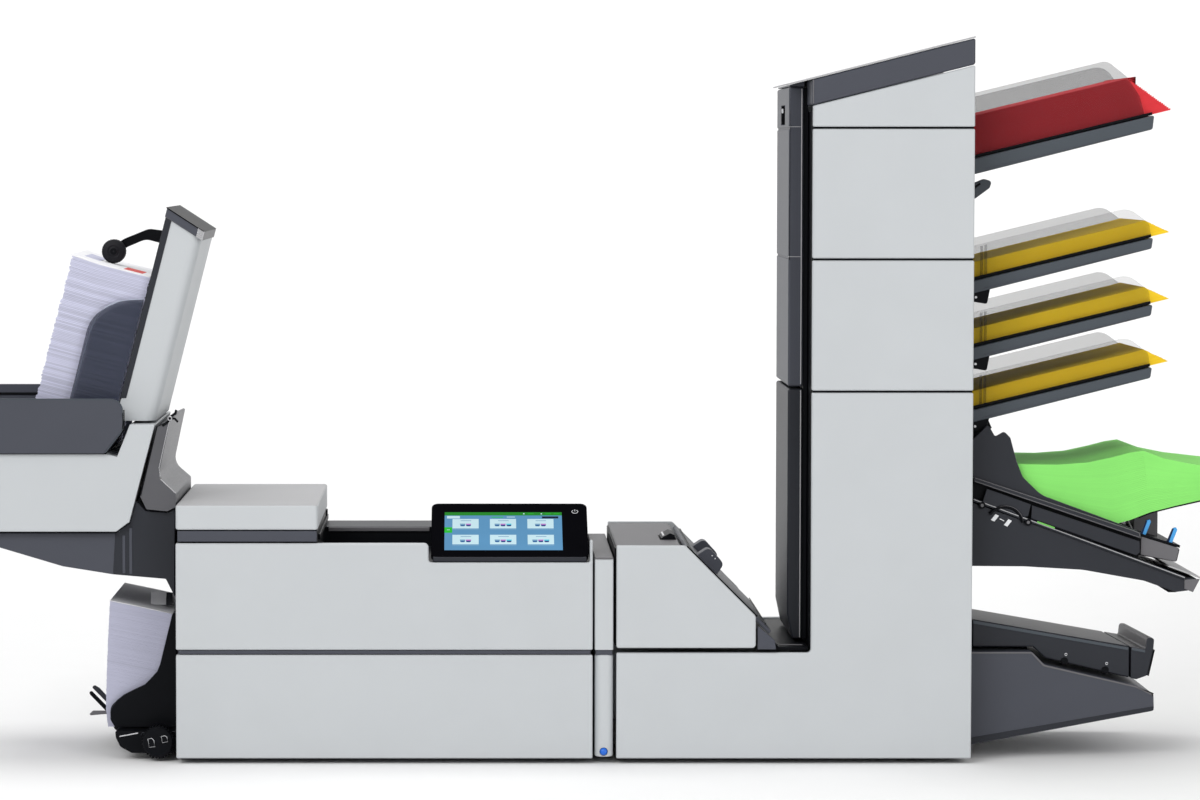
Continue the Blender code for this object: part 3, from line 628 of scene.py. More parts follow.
def column():
    (left, right), (front, back), (bottom, top) = spans("hinge_column")
    slim = [(left, front, 3), (right, front, 3), (right, back), (left, back)]
    fat = [(left, front, 10.5), (right, front, 10.5), (right, back), (left, back)]
    core = [
        (left + 1, front + 2.5, 2), (right - 1, front + 2.5, 2), (right - 1, back - 2), (left + 1, back - 2),
    ]
    hole = rod((BUTTON_X, front, BUTTON_Z), (-5, 14), 5.5, 0.1)
    lower = carve(prism(fat, (bottom, 143.4), 2.6, LYING, 5), hole)
    renew("hinge_column", [
        (lower, PANEL),
        (prism(slim, (150, top - 2.6), 0.8, LYING), PANEL),
        (prism(core, (143, 150.4), 0, LYING), SLATE),
        (prism(slim, (top - 2.4, top), 1.0, LYING), CHARCOAL),
        (prism([
            (left + 2, front + 6), (right - 2, front + 6), (right - 2, front + 14), (left + 2, front + 14),
        ], (12, 24), 0, LYING), BLACK),
    ])
    dome = [(0, -2.8), (1.6, -2.7), (3.2, -2.1), (4.4, -1.0), (5.0, 0.6), (5.0, 8.0), (4.4, 8.8), (0, 8.8)]
    renew("release_button", (turned(dome, at(BUTTON_X, front, BUTTON_Z) @ ALONG_Y, 48), BLUE))


# Folder


def folder():
    refine("folder_side_panel", width=0.9)
    refine("folder_top_cover", CHARCOAL, width=0.8)
    add("folder_trim_and_side_shade", [
        # Painted shade: a thin black sheet on the folder's left side, which faces the column.
        (box((52.9, 54.7), (-184, 160), (155, 283), 0.4), BLACK),
        plate([(239.5, 150.5), (239.5, 181), (262, 162.5, 2), (263.6, 150.5)], -188.5, -178.5, 0.8, SLATE),
        plate([(146.6, 283.8), (238.6, 192), (240.2, 193.6), (148.2, 285.4)], -178, -176.6, 0.3, BLACK),
    ])
    refine("folder_latch", BLACK, 0.8, [(box((119.5, 122), (-86, -34), (288.6, 291.4), 0.6), STEEL)])
    lines = [
        plate([
            (x, 432.3 - x), (x + 1.1, 431.2 - x), (x + 1.9, 432.0 - x), (x + 0.8, 433.1 - x),
        ], -168, 156, 0.3, BLACK)
        for x in (153.5, 250.0)
    ]
    dots = [(rod((x, -76.4, z), (-0.4, 1), 0.9, 0.2, 12), WHITE) for x, z in ((186, 263), (190, 259))]
    refine("slope_cover", SLATE, 0.7, [*lines, *dots])
    add("slope_foot_strips", [
        plate([(240, 176.5), (244, 174.5), (262.5, 158.5), (259, 158)], -157.5, -156.2, 0.3, TOP_GREY),
        (flat_wire(((244, 165), (262, 158.4), (268, 153.6), (300, 153.4)), -160, 0.8), CHARCOAL),
    ])


# Feeder tower

CAP_RISE = 0.2524


def cap_top(x):
    """Height of the tower cap's upper face."""
    return 893.5 + (x - 307) * CAP_RISE


def tower():
    for node in ("lower_tower_panel", "feeder_panel_bottom", "feeder_panel_middle", "feeder_panel_top"):
        refine(node, width=0.9)
    refine("tower_cap", SLATE, width=1.4)
    sheet = [
        (282.6, cap_top(282.6) + 0.6, 0.8),
        (519, cap_top(519) + 0.6),
        (519, cap_top(519) + 2.6),
        (282.6, cap_top(282.6) + 2.6),
    ]
    add("tower_top_sheet", [
        plate(sheet, -190, 176, 0.5, TOP_GREY),
        (box((308.2, 309.6), (-190.8, -189.4), (862.5, 893), 0.3), CHARCOAL),
        plate([(284, 885.8), (303, 885.8), (303, cap_top(303)), (284, cap_top(284))], -116, 100, 0.3, SLATE),
    ])
    steps = []
    for seam in (487.8, 660, 830.8):
        steps.append((box((310, 518), (-186.5, -179), (seam - 1.3, seam + 1.3), 0.3), BLACK))
    add("tower_seam_shadows", steps)
    # Painted shade: the lower collator takes the darker finish, copying how it darkens towards the bottom;
    # the door above keeps the slate finish.
    refine("collator_lower", DEEP, width=1.2)
    add("collator_edge_lower", [
        (box((299.2, 300.6), (-116, -114.2), (158, 486), 0.4), TOP_GREY),
        (box((303.2, 308.6), (-112, 100), (156, 884), 0.3), BLACK),
    ])
    seams = [
        (box((282.6, 299), (-115.6, -114.4), (z + 2.9, z + 3.7), 0.2), TOP_GREY)
        for z in (658.7, 829.5)
    ]
    refine("collator_door", SLATE, 1.2, [
        (box((299.2, 300.6), (-116, -114.2), (494, 883), 0.4), TOP_GREY),
        *seams,
        (box((283.2, 293.4), (24.5, 28.8), (837.6, 860.4), 0.3), BLACK),
        (box((283.4, 285.6), (19, 24.8), (852, 858), 0.6), WHITE),
    ], steps=3)


# Feeder trays

TRAY_START, TRAY_END, TRAY_RISE = 521.0, 763.0, tan(radians(13.6))
TRAY_HALF, GUIDE_Y = 118.0, 108.0


def tray_line(top, x):
    """Height of a tray's upper face."""
    return top + (x - TRAY_START) * TRAY_RISE


def guide_sheet(top, x0, x1, height, y):
    """A clear side guide standing on a tray, with a large round outer corner."""
    shape = [
        (x0, 0.6, 0), (x1, 0.6, 0), (x1 - 2.5, height * 0.42, 10), (x1 - 30, height, 24), (x0, height, 2),
    ]
    if height > 80:
        shape = [
            (x0, 0.6, 0), (x1 - 9, 0.6, 0), (x1 - 17, 30, 20), (x1 - 33, 58, 24), (x1 - 60, height, 16),
            (x0, height, 2),
        ]
    outline = [(x, tray_line(top, x) + rise, *([bend] if bend else [])) for x, rise, bend in shape]
    return prism(outline, (y, y + 3), 0.7)


def sheared(top, thick, shift, inset, count, rng):
    """Sheets on a tray: the lower ones reach further out, and all lift a little near their end."""
    leaves = []
    for i in range(count):
        height = 1.0 + thick * i / count
        end = 787 - shift * height + rng.uniform(-0.5, 0.5)
        path = [(527, tray_line(top, 527) + height), (740, tray_line(top, 740) + height)]
        path.append((end, tray_line(top, end) + height * 1.02))
        y = rng.uniform(-0.5, 0.5)
        leaves.append((path, thick / count * 0.97, (-inset + y, inset + y), rng.uniform(0.86, 1.0)))
    return pile(leaves)


def tray(node, guide, top, thickness, rear_height, front_height, paper_look, thick, shift):
    bottom = top - thickness
    bar = [
        (TRAY_START, tray_line(bottom, TRAY_START)),
        (TRAY_END - 2, tray_line(bottom, TRAY_END) + 2, 4),
        (TRAY_END, tray_line(top, TRAY_END) - 0.5, 2),
        (TRAY_START, tray_line(top, TRAY_START)),
    ]
    rib = [
        (x, tray_line(bottom, x) + 3.4)
        for x in (540, 742)
    ] + [(x, tray_line(bottom, x) + 4.4) for x in (742, 540)]
    drop = tray_line(bottom, 540)
    hook = [
        (TRAY_START, drop + 2), (549, drop + 4), (545, drop - (top - bottom), 3), (TRAY_START, drop - 13, 2),
    ]
    parts = [
        (prism(bar, (-TRAY_HALF, TRAY_HALF), 2.2, steps=4), TRAY_GREY),
        plate(rib, -TRAY_HALF - 0.5, -TRAY_HALF + 1, 0.2, SLATE),
        (guide_sheet(top, 530, TRAY_END - 3, rear_height, GUIDE_Y), CLEAR),
        plate([
            (x, tray_line(top, x) + h)
            for x, h in ((530, 0), (758, 0), (758, 3), (530, 3))
        ], 106, 112, 0.6, BLACK),
    ]
    if thickness < 20:
        parts += [
            plate(hook, -90, 90, 1.2, BLACK),
            plate(hook, -117, -108, 1.2, BLACK),
            (
                turned([(0, -1), (1.6, -0.6), (1.8, 2), (0, 2)], at(530, -117.4, drop - 8) @ ALONG_Y, 16),
                WHITE,
            ),
        ]
    renew(node, parts)
    rail = [(x, tray_line(top, x) + h) for x, h in ((524, 0.4), (761, 0.4), (761, 4.2), (524, 4.2))]
    # Painted light: the low near guides use the lightened acrylic.
    near_look = CLEAR if front_height > 80 else LIGHTENED_CLEAR
    front = [(guide_sheet(top, 523, TRAY_END - 2, front_height, -GUIDE_Y - 3), near_look)]
    front.append(plate(rail, -GUIDE_Y - 4.5, -GUIDE_Y + 2, 0.8, BLACK))
    if thickness < 20:
        for x in (536, 541.5):
            strip = [
                (x, tray_line(top, x) + 2),
                (x + 3.6, tray_line(top, x) + 2),
                (x + 3.6, tray_line(top, x) + 44),
                (x, tray_line(top, x) + 43),
            ]
            front.append(plate(strip, -GUIDE_Y - 4.2, -GUIDE_Y - 3, 0.4, CLEAR))
    renew(guide, front)
    rng = random.Random(SEED + int(top))
    stack = add(f"{node}_paper", (sheared(top, thick, shift, GUIDE_Y - 3, 24, rng), paper_look), sharp=30)
    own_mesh(stack)


def trays():
    tray("top_tray", "top_tray_guide", 789.8, 21.0, 78.0, 86.0, RED, 55.0, 1.07)
    for number, top in enumerate((629.0, 541.0, 458.5), 1):
        name, guide = f"feeder_tray_{number}", f"tray_guide_{number}"
        tray(name, guide, top, 17.0, 46.0, 46.0, YELLOW, 23.0, 1.45)
    cap = [(545, 757.5), (550, 762.2, 1.5), (554.4, 761.6, 1.2), (552, 757.5), (548, 755.8)]
    refine("feeder_lever", TRAY_GREY, 0.8, [
        plate(cap, -69, -53, 0.6, BLUE),
        plate([(530, 748), (541, 757), (540, 759), (528, 752)], -71.5, -50.5, 0.5, BLACK),
    ])


# Large-capacity feeder


def green_pile():
    """A thick bent stack: it follows the table, then rises off it and droops past its end."""
    under = [
        (528, 370), (560, 359), (600, 345), (640, 331), (680, 317.5), (712, 308), (735, 314), (762, 324.5),
        (795, 333), (828, 340.5), (868, 350),
    ]
    over = [
        (528, 389), (560, 388), (600, 386.5), (640, 386), (680, 389), (712, 396), (735, 402), (752, 404.5),
        (780, 394), (815, 387), (868, 381),
    ]
    rng = random.Random(SEED)
    count = 34
    leaves = []
    for i in range(count):
        share = i / count
        path = [
            (
                a[0] + (b[0] - a[0]) * share, a[1] + (b[1] + 1.5 - a[1]) * share,
                (b[1] + 1.5 - a[1]) / count * 0.98,
            )
            for a, b in zip(under, over)
        ]
        y = rng.uniform(-0.15, 0.15)
        leaves.append((path, 0, (-PAPER_HALF + y, 112 + y), rng.uniform(0.9, 1.0)))
    stack = add("maxi_paper", (pile(leaves), GREEN), sharp=30)
    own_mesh(stack)


def document_icon(x, z, width, height, turn, y):
    """The outline of a sheet with a folded corner, drawn with a fine raised line."""
    w, h = width / 2, height / 2
    corners = [(-w, -h), (w, -h), (w, h * 0.45), (w * 0.4, h), (-w, h), (-w, -h), (w, -h)]
    spin = Matrix.Rotation(radians(turn), 2)
    points = [spin @ Vector(corner) + Vector((x, z)) for corner in corners]
    return flat_wire(points, y, 0.38, 6)


def maxi_feeder():
    refine("maxi_body", DEEP, 0.8, [
        plate([(784, 253.6), (827.8, 237.6), (829.5, 238.6), (786, 255)], -131, 131, 0.4, TOP_GREY),
        plate([(806, 236.5), (826.5, 237.4), (817.5, 219.8), (806, 224.4)], -131.4, -129, 0.6, CHARCOAL),
        plate([(772, 231), (797, 229), (797, 219, 1), (786, 219), (774, 227)], -124, 124, 0.6, BLACK),
    ])
    rail = [(527, 342), (553, 332.6), (600, 315), (681, 285), (806, 238.6)]
    add("maxi_rail", [
        (flat_wire(rail, -131.4, 2.5, 14), DEEP),
        # Painted highlight: a pale wire laid along the front of the round rail.
        (flat_wire([(x, z + 0.8) for x, z in rail], -133.4, 0.7), TOP_GREY),
        *[(rod((x, -131.5, z), (-3.2, 2), 4.6, 0.6), BLACK) for x, z in ((538, 335), (599, 312.5))],
        *[(rod((x, -131.5, z), (-3.8, 0), 2.2, 0.4), CHARCOAL) for x, z in ((538, 335), (599, 312.5))],
    ])
    arc = circle(568, 309, 24, range(8, 150, 8))
    add("maxi_arc", [
        (flat_wire(arc, -133, 2.3, 10), BLACK),
        # Painted highlight: a thin lighter wire along the upper front of the black arc.
        (flat_wire([(x + 0.8, z + 1.4) for x, z in arc], -134.5, 0.4, 6), CHARCOAL),
    ])
    marks = [
        plate([
            (x - 5.4, z - 2.8), (x - 0.8, z - 5), (x + 5.2, z + 2.7), (x + 0.7, z + 4.9),
        ], -131.3, -130, 0.1, WHITE)
        for x, z in ((555.5, 318.3), (572.6, 311.6))
    ]
    marks.append(plate([
        (561.4, 316.6), (567.4, 313.6), (567.8, 314.6), (561.8, 317.6),
    ], -131.2, -130, 0.1, WHITE))
    add("maxi_size_marks", marks)
    front = [(527, 372.6), (738, 302.6), (747.4, 299, 3), (747.6, 291), (527, 366)]
    panel_a = [(544.3, 357), (602.5, 336.2), (599, 320.5, 1), (594, 319.5), (538.5, 338.6)]
    panel_b = [(604, 335), (746, 287.4), (746.6, 273), (742, 268.6, 2), (603, 317.6)]
    block = [(749.5, 293, 1), (800, 277.4, 2), (796, 259.6, 2), (749, 268.8)]
    refine("maxi_table", BLACK, 0.8, [
        plate([(523, 338.6), (523, 368), (746, 294), (746, 264)], -124, -112, 0.5, BLACK),
        plate([
            (521.6, 405), (521.6, 452), (548, 452), (556, 434), (546, 430), (530, 405),
        ], -88, -60, 1.0, BLACK),
        plate(front, -134.4, -131, 1.2, DEEP),
        # Painted highlights: two charcoal wires along the top and bottom edges of the front rail plate.
        (flat_wire(((528, 371.4), (737, 301.9), (745.4, 298.4), (746.6, 291.6)), -134.6, 0.6), CHARCOAL),
        (flat_wire(((528, 367), (745, 293)), -134.5, 0.6), CHARCOAL),
        plate(panel_a, -133, -130.6, 0.8, DEEP),
        plate(panel_b, -133, -130.6, 0.8, DEEP),
        plate(block, -123.8, -121.6, 0.8, CHARCOAL),
        plate([(749, 293.4), (800.6, 277.8), (801.4, 281), (749.6, 296.4)], -124, 122, 0.8, BLACK),
        plate([(611, 312), (634, 303.9), (634, 306.1), (611, 314.3)], -134.6, -133.2, 0, GREEN),
        plate([(634, 303.9), (684, 286.3), (684, 288.3), (634, 306.1)], -134.6, -133.2, 0, BLACK),
        plate([(752, 284), (784, 276), (784, 328), (752, 318)], -44.5, -40.5, 0.8, CHARCOAL),
        (flat_wire(((742, 308.6), (747, 298)), -60, 0.9), TOP_GREY),
        plate([
            (747, 316.2), (762, 322.4), (795, 330.8), (828, 338.2), (866, 347.4), (866, 348.8),
            (828, 339.8), (795, 332.4), (762, 324), (747, 317.8),
        ], -117, 112, 0.2, BLACK),
    ])
    guide = refine("maxi_side_guide", DEEP, width=0.7)
    tint(guide, CHARCOAL, lambda middle, normal: normal.y > -0.4 and middle.x > 560)
    for number, x, y in ((1, 762.5, -108), (2, 796.0, -117)):
        z = 295.2 - (x - 750) * 0.294
        blade = [
            (x - 11, z + 3.4), (x - 5, z + 1.6), (x + 2, z + 19.5, 2), (x + 0.4, z + 23, 1),
            (x - 4, z + 21.5, 2),
        ]
        # Painted shade: a darker blue strip along the lever blade's left edge.
        shade = [(x - 11.6, z + 3.8), (x - 9.2, z + 3.2), (x - 2.8, z + 21), (x - 4.4, z + 21.2, 1)]
        node = f"maxi_lever_{number}"
        renew(node, [
            plate(blade, y - 3, y + 3, 1.2, SKY_BLUE),
            plate(shade, y - 3.4, y + 2, 0.4, SHADED_BLUE),
        ])
    green_pile()


# Insert feeder


def insert_feeder():
    refine("insert_tray", SLATE, 1.0, [
        plate([(523, 18.4), (766, 63.6), (766.4, 69), (740, 64.6), (523, 27)], -135.8, -134, 0.6, DEEP),
        plate([
            (523, 141), (605, 141, 5), (621.3, 124, 6), (742.8, 95.8), (765.5, 85.2, 3), (764.5, 83.2, 3),
            (742, 94), (620.2, 122, 6), (604, 139), (523, 139),
        ], -136, -134, 0.5, CHARCOAL),
    ])
    notches = [(rod((x, -120, z), (-1.2, 1), 4.8, 0.5), BLACK) for x, z in ((650, 127.5), (704, 115.5))]
    dots = []
    for x, z in ((652, 136), (706, 124)):
        dots.append((flat_wire(circle(x, z, 1.5, range(0, 331, 30)), -120.2, 0.42, 6), WHITE))
    seam = prism([(529, 177), (734.6, 141.6), (734.6, 145.4), (529, 181.4)], (-120.9, -119), 0.3)
    piece = refine("insert_cover", DEEP, 1.4, [(seam, TRAY_GREY), *notches, *dots], steps=3)
    tint(piece, CHARCOAL, lambda middle, normal: normal.z > 0.85)
    stop = refine("insert_end_stop", DEEP, 1.0, [
        plate([(760.4, 107.6), (762, 107.9), (769.6, 142), (768, 142)], -121, -100, 0.3, BLACK),
        plate([(739, 141.6), (756.6, 138.4), (756.6, 142), (739, 145.2)], -120.9, -119, 0.3, TRAY_GREY),
    ], steps=3)
    tint(stop, CHARCOAL, lambda middle, normal: middle.z > 135 and (normal.z > 0.5 or normal.x < -0.3))


# Output stacker

LEAN = radians(14.3)
REST_TOP = (-532.8, 725.8)


def lean_x(z, shift=0.0):
    """X of the backrest's leaning face at a height, moved along its normal by shift."""
    return REST_TOP[0] - (REST_TOP[1] - z) * tan(LEAN) + shift / cos(LEAN)


def backrest():
    upright = at(REST_TOP[0], 0, REST_TOP[1]) @ Matrix.Rotation(LEAN, 4, "Y")
    plan = [(0, -125, 2), (52, -125, 15), (52, 125, 15), (0, 125, 2)]
    body = prism(plan, (-300, 20), 0, LYING)
    bmesh.ops.transform(body, matrix=upright, verts=body.verts)
    over = prism([(-560, 743.6), (-460, 678.2), (-460, 800), (-560, 800)], (-140, 140), 0)
    under = prism([(-700, 446), (-450, 446), (-450, 300), (-700, 300)], (-140, 140), 0)
    slot = prism([(lean_x(z, s), z) for z, s in ((712, -10), (712, 10), (482, 10), (482, -10))], (-7, 7), 0)
    strip = [(lean_x(z, s), z) for z, s in ((724, -0.7), (719, 8), (476, 7), (476, -0.7))]
    cap = [(-534, 726.8, 2), (-485.4, 695, 2), (-488.6, 683.4), (-537.2, 714.6)]
    end = [(-493.2, 700.4), (-485.2, 695.2), (-488.4, 683.2), (-496.6, 688.4)]
    rim = [(lean_x(z, s), z) for z, s in ((705, -0.9), (705, 0.5), (484, 0.5), (484, -0.9))]
    renew("backrest", [
        (carve(body, over, under, slot), PANEL),
        plate(strip, -126.4, -116, 0.8, DEEP),
        plate(strip, 116, 126.4, 0.8, DEEP),
        plate(cap, -127.4, 127, 1.0, CHARCOAL),
        plate([(-534.4, 725.4), (-486, 693.8), (-488.6, 684), (-537, 715.6)], -128.4, -127, 0.4, SLATE),
        plate(end, -129, -127.2, 0.5, STEEL),
        plate([(-535.4, 726.2), (-486, 694.2), (-485.4, 695.4), (-534.8, 727.4)], -129, 127, 0.3, BLACK),
        *[(prism(rim, y, 0.3), BLACK) for y in ((-9.5, -7.2), (7.2, 9.5))],
    ])


def arm():
    refine("stack_arm", BLACK, 1.2, [(rod((ROLLER_X, 0, ROLLER_Z), (-24.6, -22), 5.2, 0.8), BLACK)], steps=3)
    tyre = [
        (0, -5.6), (3.6, -5.6), (12.5, -5.8), (15, -6.8), (16, -9), (16, -20), (15, -22.4), (12.2, -23.6),
        (8.5, -24.2), (7, -23.4), (4.4, -24.6), (3.6, -24.2), (0, -24.8),
    ]
    treads = []
    for i in range(28):
        a = 2 * pi * i / 28
        corners = ((14.6, a), (16.2, a), (16.2, a + 0.08), (14.6, a + 0.08))
        tread = [(ROLLER_X + r * cos(turn), ROLLER_Z + r * sin(turn)) for r, turn in corners]
        treads.append(plate(tread, -20, -9, 0, RUBBER))
    renew("stack_roller", [(turned(tyre, at(ROLLER_X, 0, ROLLER_Z) @ ALONG_Y, 64), RUBBER), *treads])


def envelope_pile():
    """Finished envelopes lying on the tilted bed, against the backrest, with ragged outer edges."""
    place = Matrix(((-cos(LEAN), sin(LEAN), 0, 0), (0, 0, 1, 0), (sin(LEAN), cos(LEAN), 0, 0), (0, 0, 0, 1)))
    place = at(lean_x(403.6), 0, 403.6) @ place
    rng = random.Random(SEED)
    leaves = []
    count, step = 118, 2.016
    for i in range(count):
        share = i / count
        near = 0.8 + rng.uniform(0, 1.6)
        far = 107.5 + 1.8 * (1 - share) + rng.uniform(-1.5, 1.2)
        y = rng.uniform(-0.3, 0.3)
        path = [(near, i * step), (70, i * step), (far, i * step + 2.6 * share * share)]
        leaves.append((path, step * 0.93, (-PAPER_HALF + y, 123 + y), rng.uniform(0.62, 1.0)))
    stack = add("stacker_envelopes", (pile(leaves, place), ENVELOPE), sharp=30)
    top = count * step
    last = pile([([(2, top - 0.1), (70, top - 0.1), (110.5, top + 2.9)], 1.5, (-118, 123), 1.0)], place)
    stamp = pile([([(14, top + 1.3), (40, top + 1.3)], 0.25, (-96, -20), 1.0)], place)
    address = pile([([(76, top + 1.9), (98, top + 3.5)], 0.2, (-50, 60), 0.8)], place)
    cover = add("stacker_top_envelope", [
        (last, WHITE_PAPER), (stamp, RED_INK), (address, ENVELOPE),
    ], sharp=30)
    for piece in (stack, cover):
        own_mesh(piece)


def stacker():
    body = refine("stacker_body", PANEL, width=1.6)
    tint(body, SLATE, lambda middle, normal: middle.y > 140 and middle.z > 425)
    end = spans("stacker_front_wall")[0][0]
    wall = [(end, 404.6), (-616, 404.6, 3), (-591.5, 436, 12), (-591.5, 476.8, 16), (end, 476.8)]
    rim = [
        (-822, 476.2), (-606.5, 476.2), (-598, 473.2), (-593, 466.5), (-592, 459), (-592, 437),
        (-595.5, 431), (-614.8, 406),
    ]
    renew("stacker_front_wall", [
        (prism(wall, (-156, -149.5), 1.8, steps=5), SLATE),
        (flat_wire(rim, -155.6, 0.9, 10), TRAY_GREY),
        plate([
            (-822.5, 403.6), (-614, 403.6), (-589.6, 434.6), (-589.6, 462), (-591, 462), (-591, 436),
            (-615, 405.4), (-822.5, 405.4),
        ], -153, -149, 0, BLACK),
    ])
    add("stacker_rear_line", plate([
        (-822, 465), (-606, 465), (-606, 468.6), (-822, 468.6),
    ], 145.4, 147.6, 0.5, BLACK))
    add("stacker_bed_ribs", [
        plate([(-819, 455), (-602, 401.6), (-602, 403), (-819, 456.4)], y, y + 3, 0.4, SLATE)
        for y in range(-130, 131, 26)
    ])
    throat = [
        (-603, 299.4), (-584, 312), (-576, 341), (-563, 328), (-534, 326), (-524.6, 331), (-525.8, 216),
        (-537.4, 239), (-606.3, 244.8),
    ]
    refine("stacker_underside", SLATE, 1.0, [
        plate(throat, -141.4, -139, 0.8, DEEP),
        (box((-594, -590), (-142.4, -140.6), (246, 296), 1.2), SLATE),
        (box((-585, -581), (-142.4, -140.6), (245, 306), 1.2), SLATE),
        plate([
            (-822, 299.6), (-601, 299.6), (-584, 312.6), (-585.6, 313.4), (-601.4, 301.6), (-822, 301.6),
        ], -149.6, -139, 0, BLACK),
    ])
    # Painted shade: the deflector plate takes the darkened zinc.
    refine("deflector_plate", SHADED_ZINC, 0.6, [
        (flat_wire(((-569, 349), (-547, 440), (-531, 447.2)), -150.4, 0.7), BLACK),
        (flat_wire(((-531, 447.2), (-544.6, 386), (-543, 371), (-523.4, 352.6)), -150.4, 0.5), STEEL),
    ])
    hook = [(-540, 441), (-533, 446), (-528, 454), (-523, 457), (-521.5, 462)]
    add("deflector_latch", [
        (flat_wire(hook, -152, 1.7, 10), BLACK),
        (flat_wire(((-530, 451), (-523.5, 450.5), (-519.5, 446)), -152, 1.5, 10), BLACK),
        (rod((-530, -152, 451), (-3, 1), 3.4, 0.6), STEEL),
        (rod((-530, -152, 451), (-3.8, -2), 1.8, 0.4), BLACK),
    ])
    guide = [
        (lean_x(606, -2), 606),
        (-594, 604.5, 30),
        (-635.5, 586, 46),
        (-663, 478, 60),
        (-674, 430, 4),
        (lean_x(424, -2), 424),
    ]
    # Painted highlight: a paler wire along the smoked guide's curved edge.
    rim = [
        (lean_x(606, -3), 606),
        (-585, 605.4),
        (-600, 603),
        (-612, 598),
        (-622, 590),
        (-630, 579),
        (-636, 565),
        (-641, 548),
        (-661, 478),
    ]
    renew("stacker_guide", [plate(guide, -127, -124, 0.8, SMOKE), (flat_wire(rim, -125.5, 1.0), SMOKE_EDGE_HIGHLIGHT)])


# Envelope hopper


def hopper():
    lip = [(x, z) for x, z in circle(KNOB_X, KNOB_Z, 24.4, range(28, 172, 8)) if z < 38]
    refine("hopper_bed", BLACK, 1.0, [
        plate([(-598.2, 30.2), (-573.6, 34.8), (-573.8, 36.2), (-598.4, 31.6)], -151, -149.4, 0.2, STEEL),
        (flat_wire(lip, -150.8, 0.7), DEEP),
    ], steps=3)
    # Painted highlight: a thin wire in a lighter dark finish along each black guide's curved edge.
    rim = [
        (-529.4, 190), (-536, 163), (-545.6, 124), (-549.6, 114.4), (-556, 107), (-566, 97), (-580, 90.4),
        (-594, 83.2), (-603, 76), (-609.6, 67), (-611.6, 60), (-611.6, 51),
    ]
    for side, y in (("front", (-128, -123)), ("rear", (123, 128))):
        node = f"hopper_{side}_guide"
        edge_y = y[0] - 0.1 if side == "front" else y[1] + 0.1
        refine(node, BLACK, 0.8, [(flat_wire(rim, edge_y, 0.45), DEEP)])
    ribs = [
        (rod((x, -160.6, z), (-8, 8), 1.5, 0.5, 12), BLACK)
        for x, z in circle(KNOB_X, KNOB_Z, 20.4, range(0, 360, 12))
    ]
    face = [(0, -171.6), (15, -171.6), (18.6, -171), (20.2, -169.2), (20.2, -152), (0, -151)]
    renew("hopper_knob", [
        (turned(face, at(KNOB_X, 0, KNOB_Z) @ ALONG_Y, 64), BLACK),
        *ribs,
        (document_icon(-554.6, 25.6, 7.4, 11.4, 10, -171.9), WHITE),
        (document_icon(-537.4, 30.4, 7.2, 8.6, 12, -171.9), WHITE),
    ])
    blades = [
        (-82, DEEP, [
            (-617, 58), (-615, 68), (-622, 77.5), (-630.5, 86.8, 4), (-636.4, 90.3, 3), (-641, 88.5, 2),
            (-622, 69),
        ]),
        (-75, BLACK, [(-620, 52.6), (-618, 58), (-641, 81.4, 2), (-645.6, 81, 2), (-643, 76.6)]),
        (-89, CHARCOAL, [(-619, 53), (-619, 57), (-638.6, 57.2, 3), (-643.6, 52.4, 1), (-641, 51.2, 1)]),
        (82, BLACK, [(-618, 53), (-617, 60), (-628, 74, 3), (-632, 72, 3)]),
    ]
    parts = [plate(outline, y - 3, y + 3, 1.0, look) for y, look, outline in blades]
    parts.append((rod((-619, 0, 56), (-86, 88), 3.6, 0.6), BLACK))
    renew("hopper_support", parts)
    rng = random.Random(SEED)
    leaves = []
    count, step = 96, 1.74
    for i in range(count):
        z = HOPPER_FLOOR + i * step
        bulge = -616 - 2.6 * min((z - HOPPER_FLOOR) / 21.5, 1.0) + 6.0 * max((z - 61) / 146, 0.0) ** 1.4
        left = bulge + rng.uniform(-0.2, 0.2)
        fall = 18.1 * min(i / 30, 1.0)
        tone = rng.uniform(0.57, 0.63) * (0.8 if i == 50 else 1)
        right = -606.5 if z < 62 else -530
        sides = ((-PAPER_HALF, -62), (62, PAPER_HALF)) if z < 50.4 else ((-PAPER_HALF, PAPER_HALF),)
        path = [(left, z), (right, z - fall * (right - left) / 88)]
        if z >= 62:
            path.insert(1, (-606.5, z - fall * (-606.5 - left) / 88))
        leaves += [(path, step * 0.98, ends, tone) for ends in sides]
    for i in range(14):
        z = HOPPER_FLOOR + i * step
        leaves.append(([(-606.4, z), (-530, z - 0.02 * i)], step * 0.98, (-PAPER_HALF, PAPER_HALF), 0.6))
    stack = add("hopper_envelopes", (pile(leaves), ENVELOPE), sharp=30)
    top = HOPPER_FLOOR + count * step
    sheet = [(-612.6, top + 0.2), (-571, top - 8.4), (-530, top - 17.6)]
    lean = [(-62, top - 10.6), (-60, top - 3), (-56.6, top + 5.4)]
    flaps = add("hopper_open_flap", [
        (pile([(sheet, 0.8, (-PAPER_HALF, PAPER_HALF), 1.0)]), WHITE_PAPER),
        (pile([(lean, 0.8, (-563, -543), 1.0)], SIDEWAYS), WHITE_PAPER),
        (pile([([(y, z - 1) for y, z in lean], 0.8, (-542.4, -534), 0.4)], SIDEWAYS), DEEP),
    ], sharp=30)
    for piece in (stack, flaps):
        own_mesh(piece)


# Back of the machine


SCREW_HEAD = [(0, -1.5), (2.0, -1.4), (3.2, -0.8), (3.6, 0.2), (3.6, 1), (0, 1)]


def slotted(node, groups, screws):
    """A rear cover with groups of vent slots cut into it, and screws round its edge."""
    cutters = []
    for x, z, count in groups:
        for i in range(count):
            cutters.append(box((x, x + 46), (186.4, 194), (z + 8 * i, z + 8 * i + 3.4), 0))
    shell = softened(node, 0.9)
    parts = [(carve(shell, *cutters), PANEL)]
    for x, z in screws:
        parts.append((turned(SCREW_HEAD, at(x, 190, z) @ Matrix.Rotation(radians(90), 4, "X"), 24), STEEL))
    renew(node, parts)


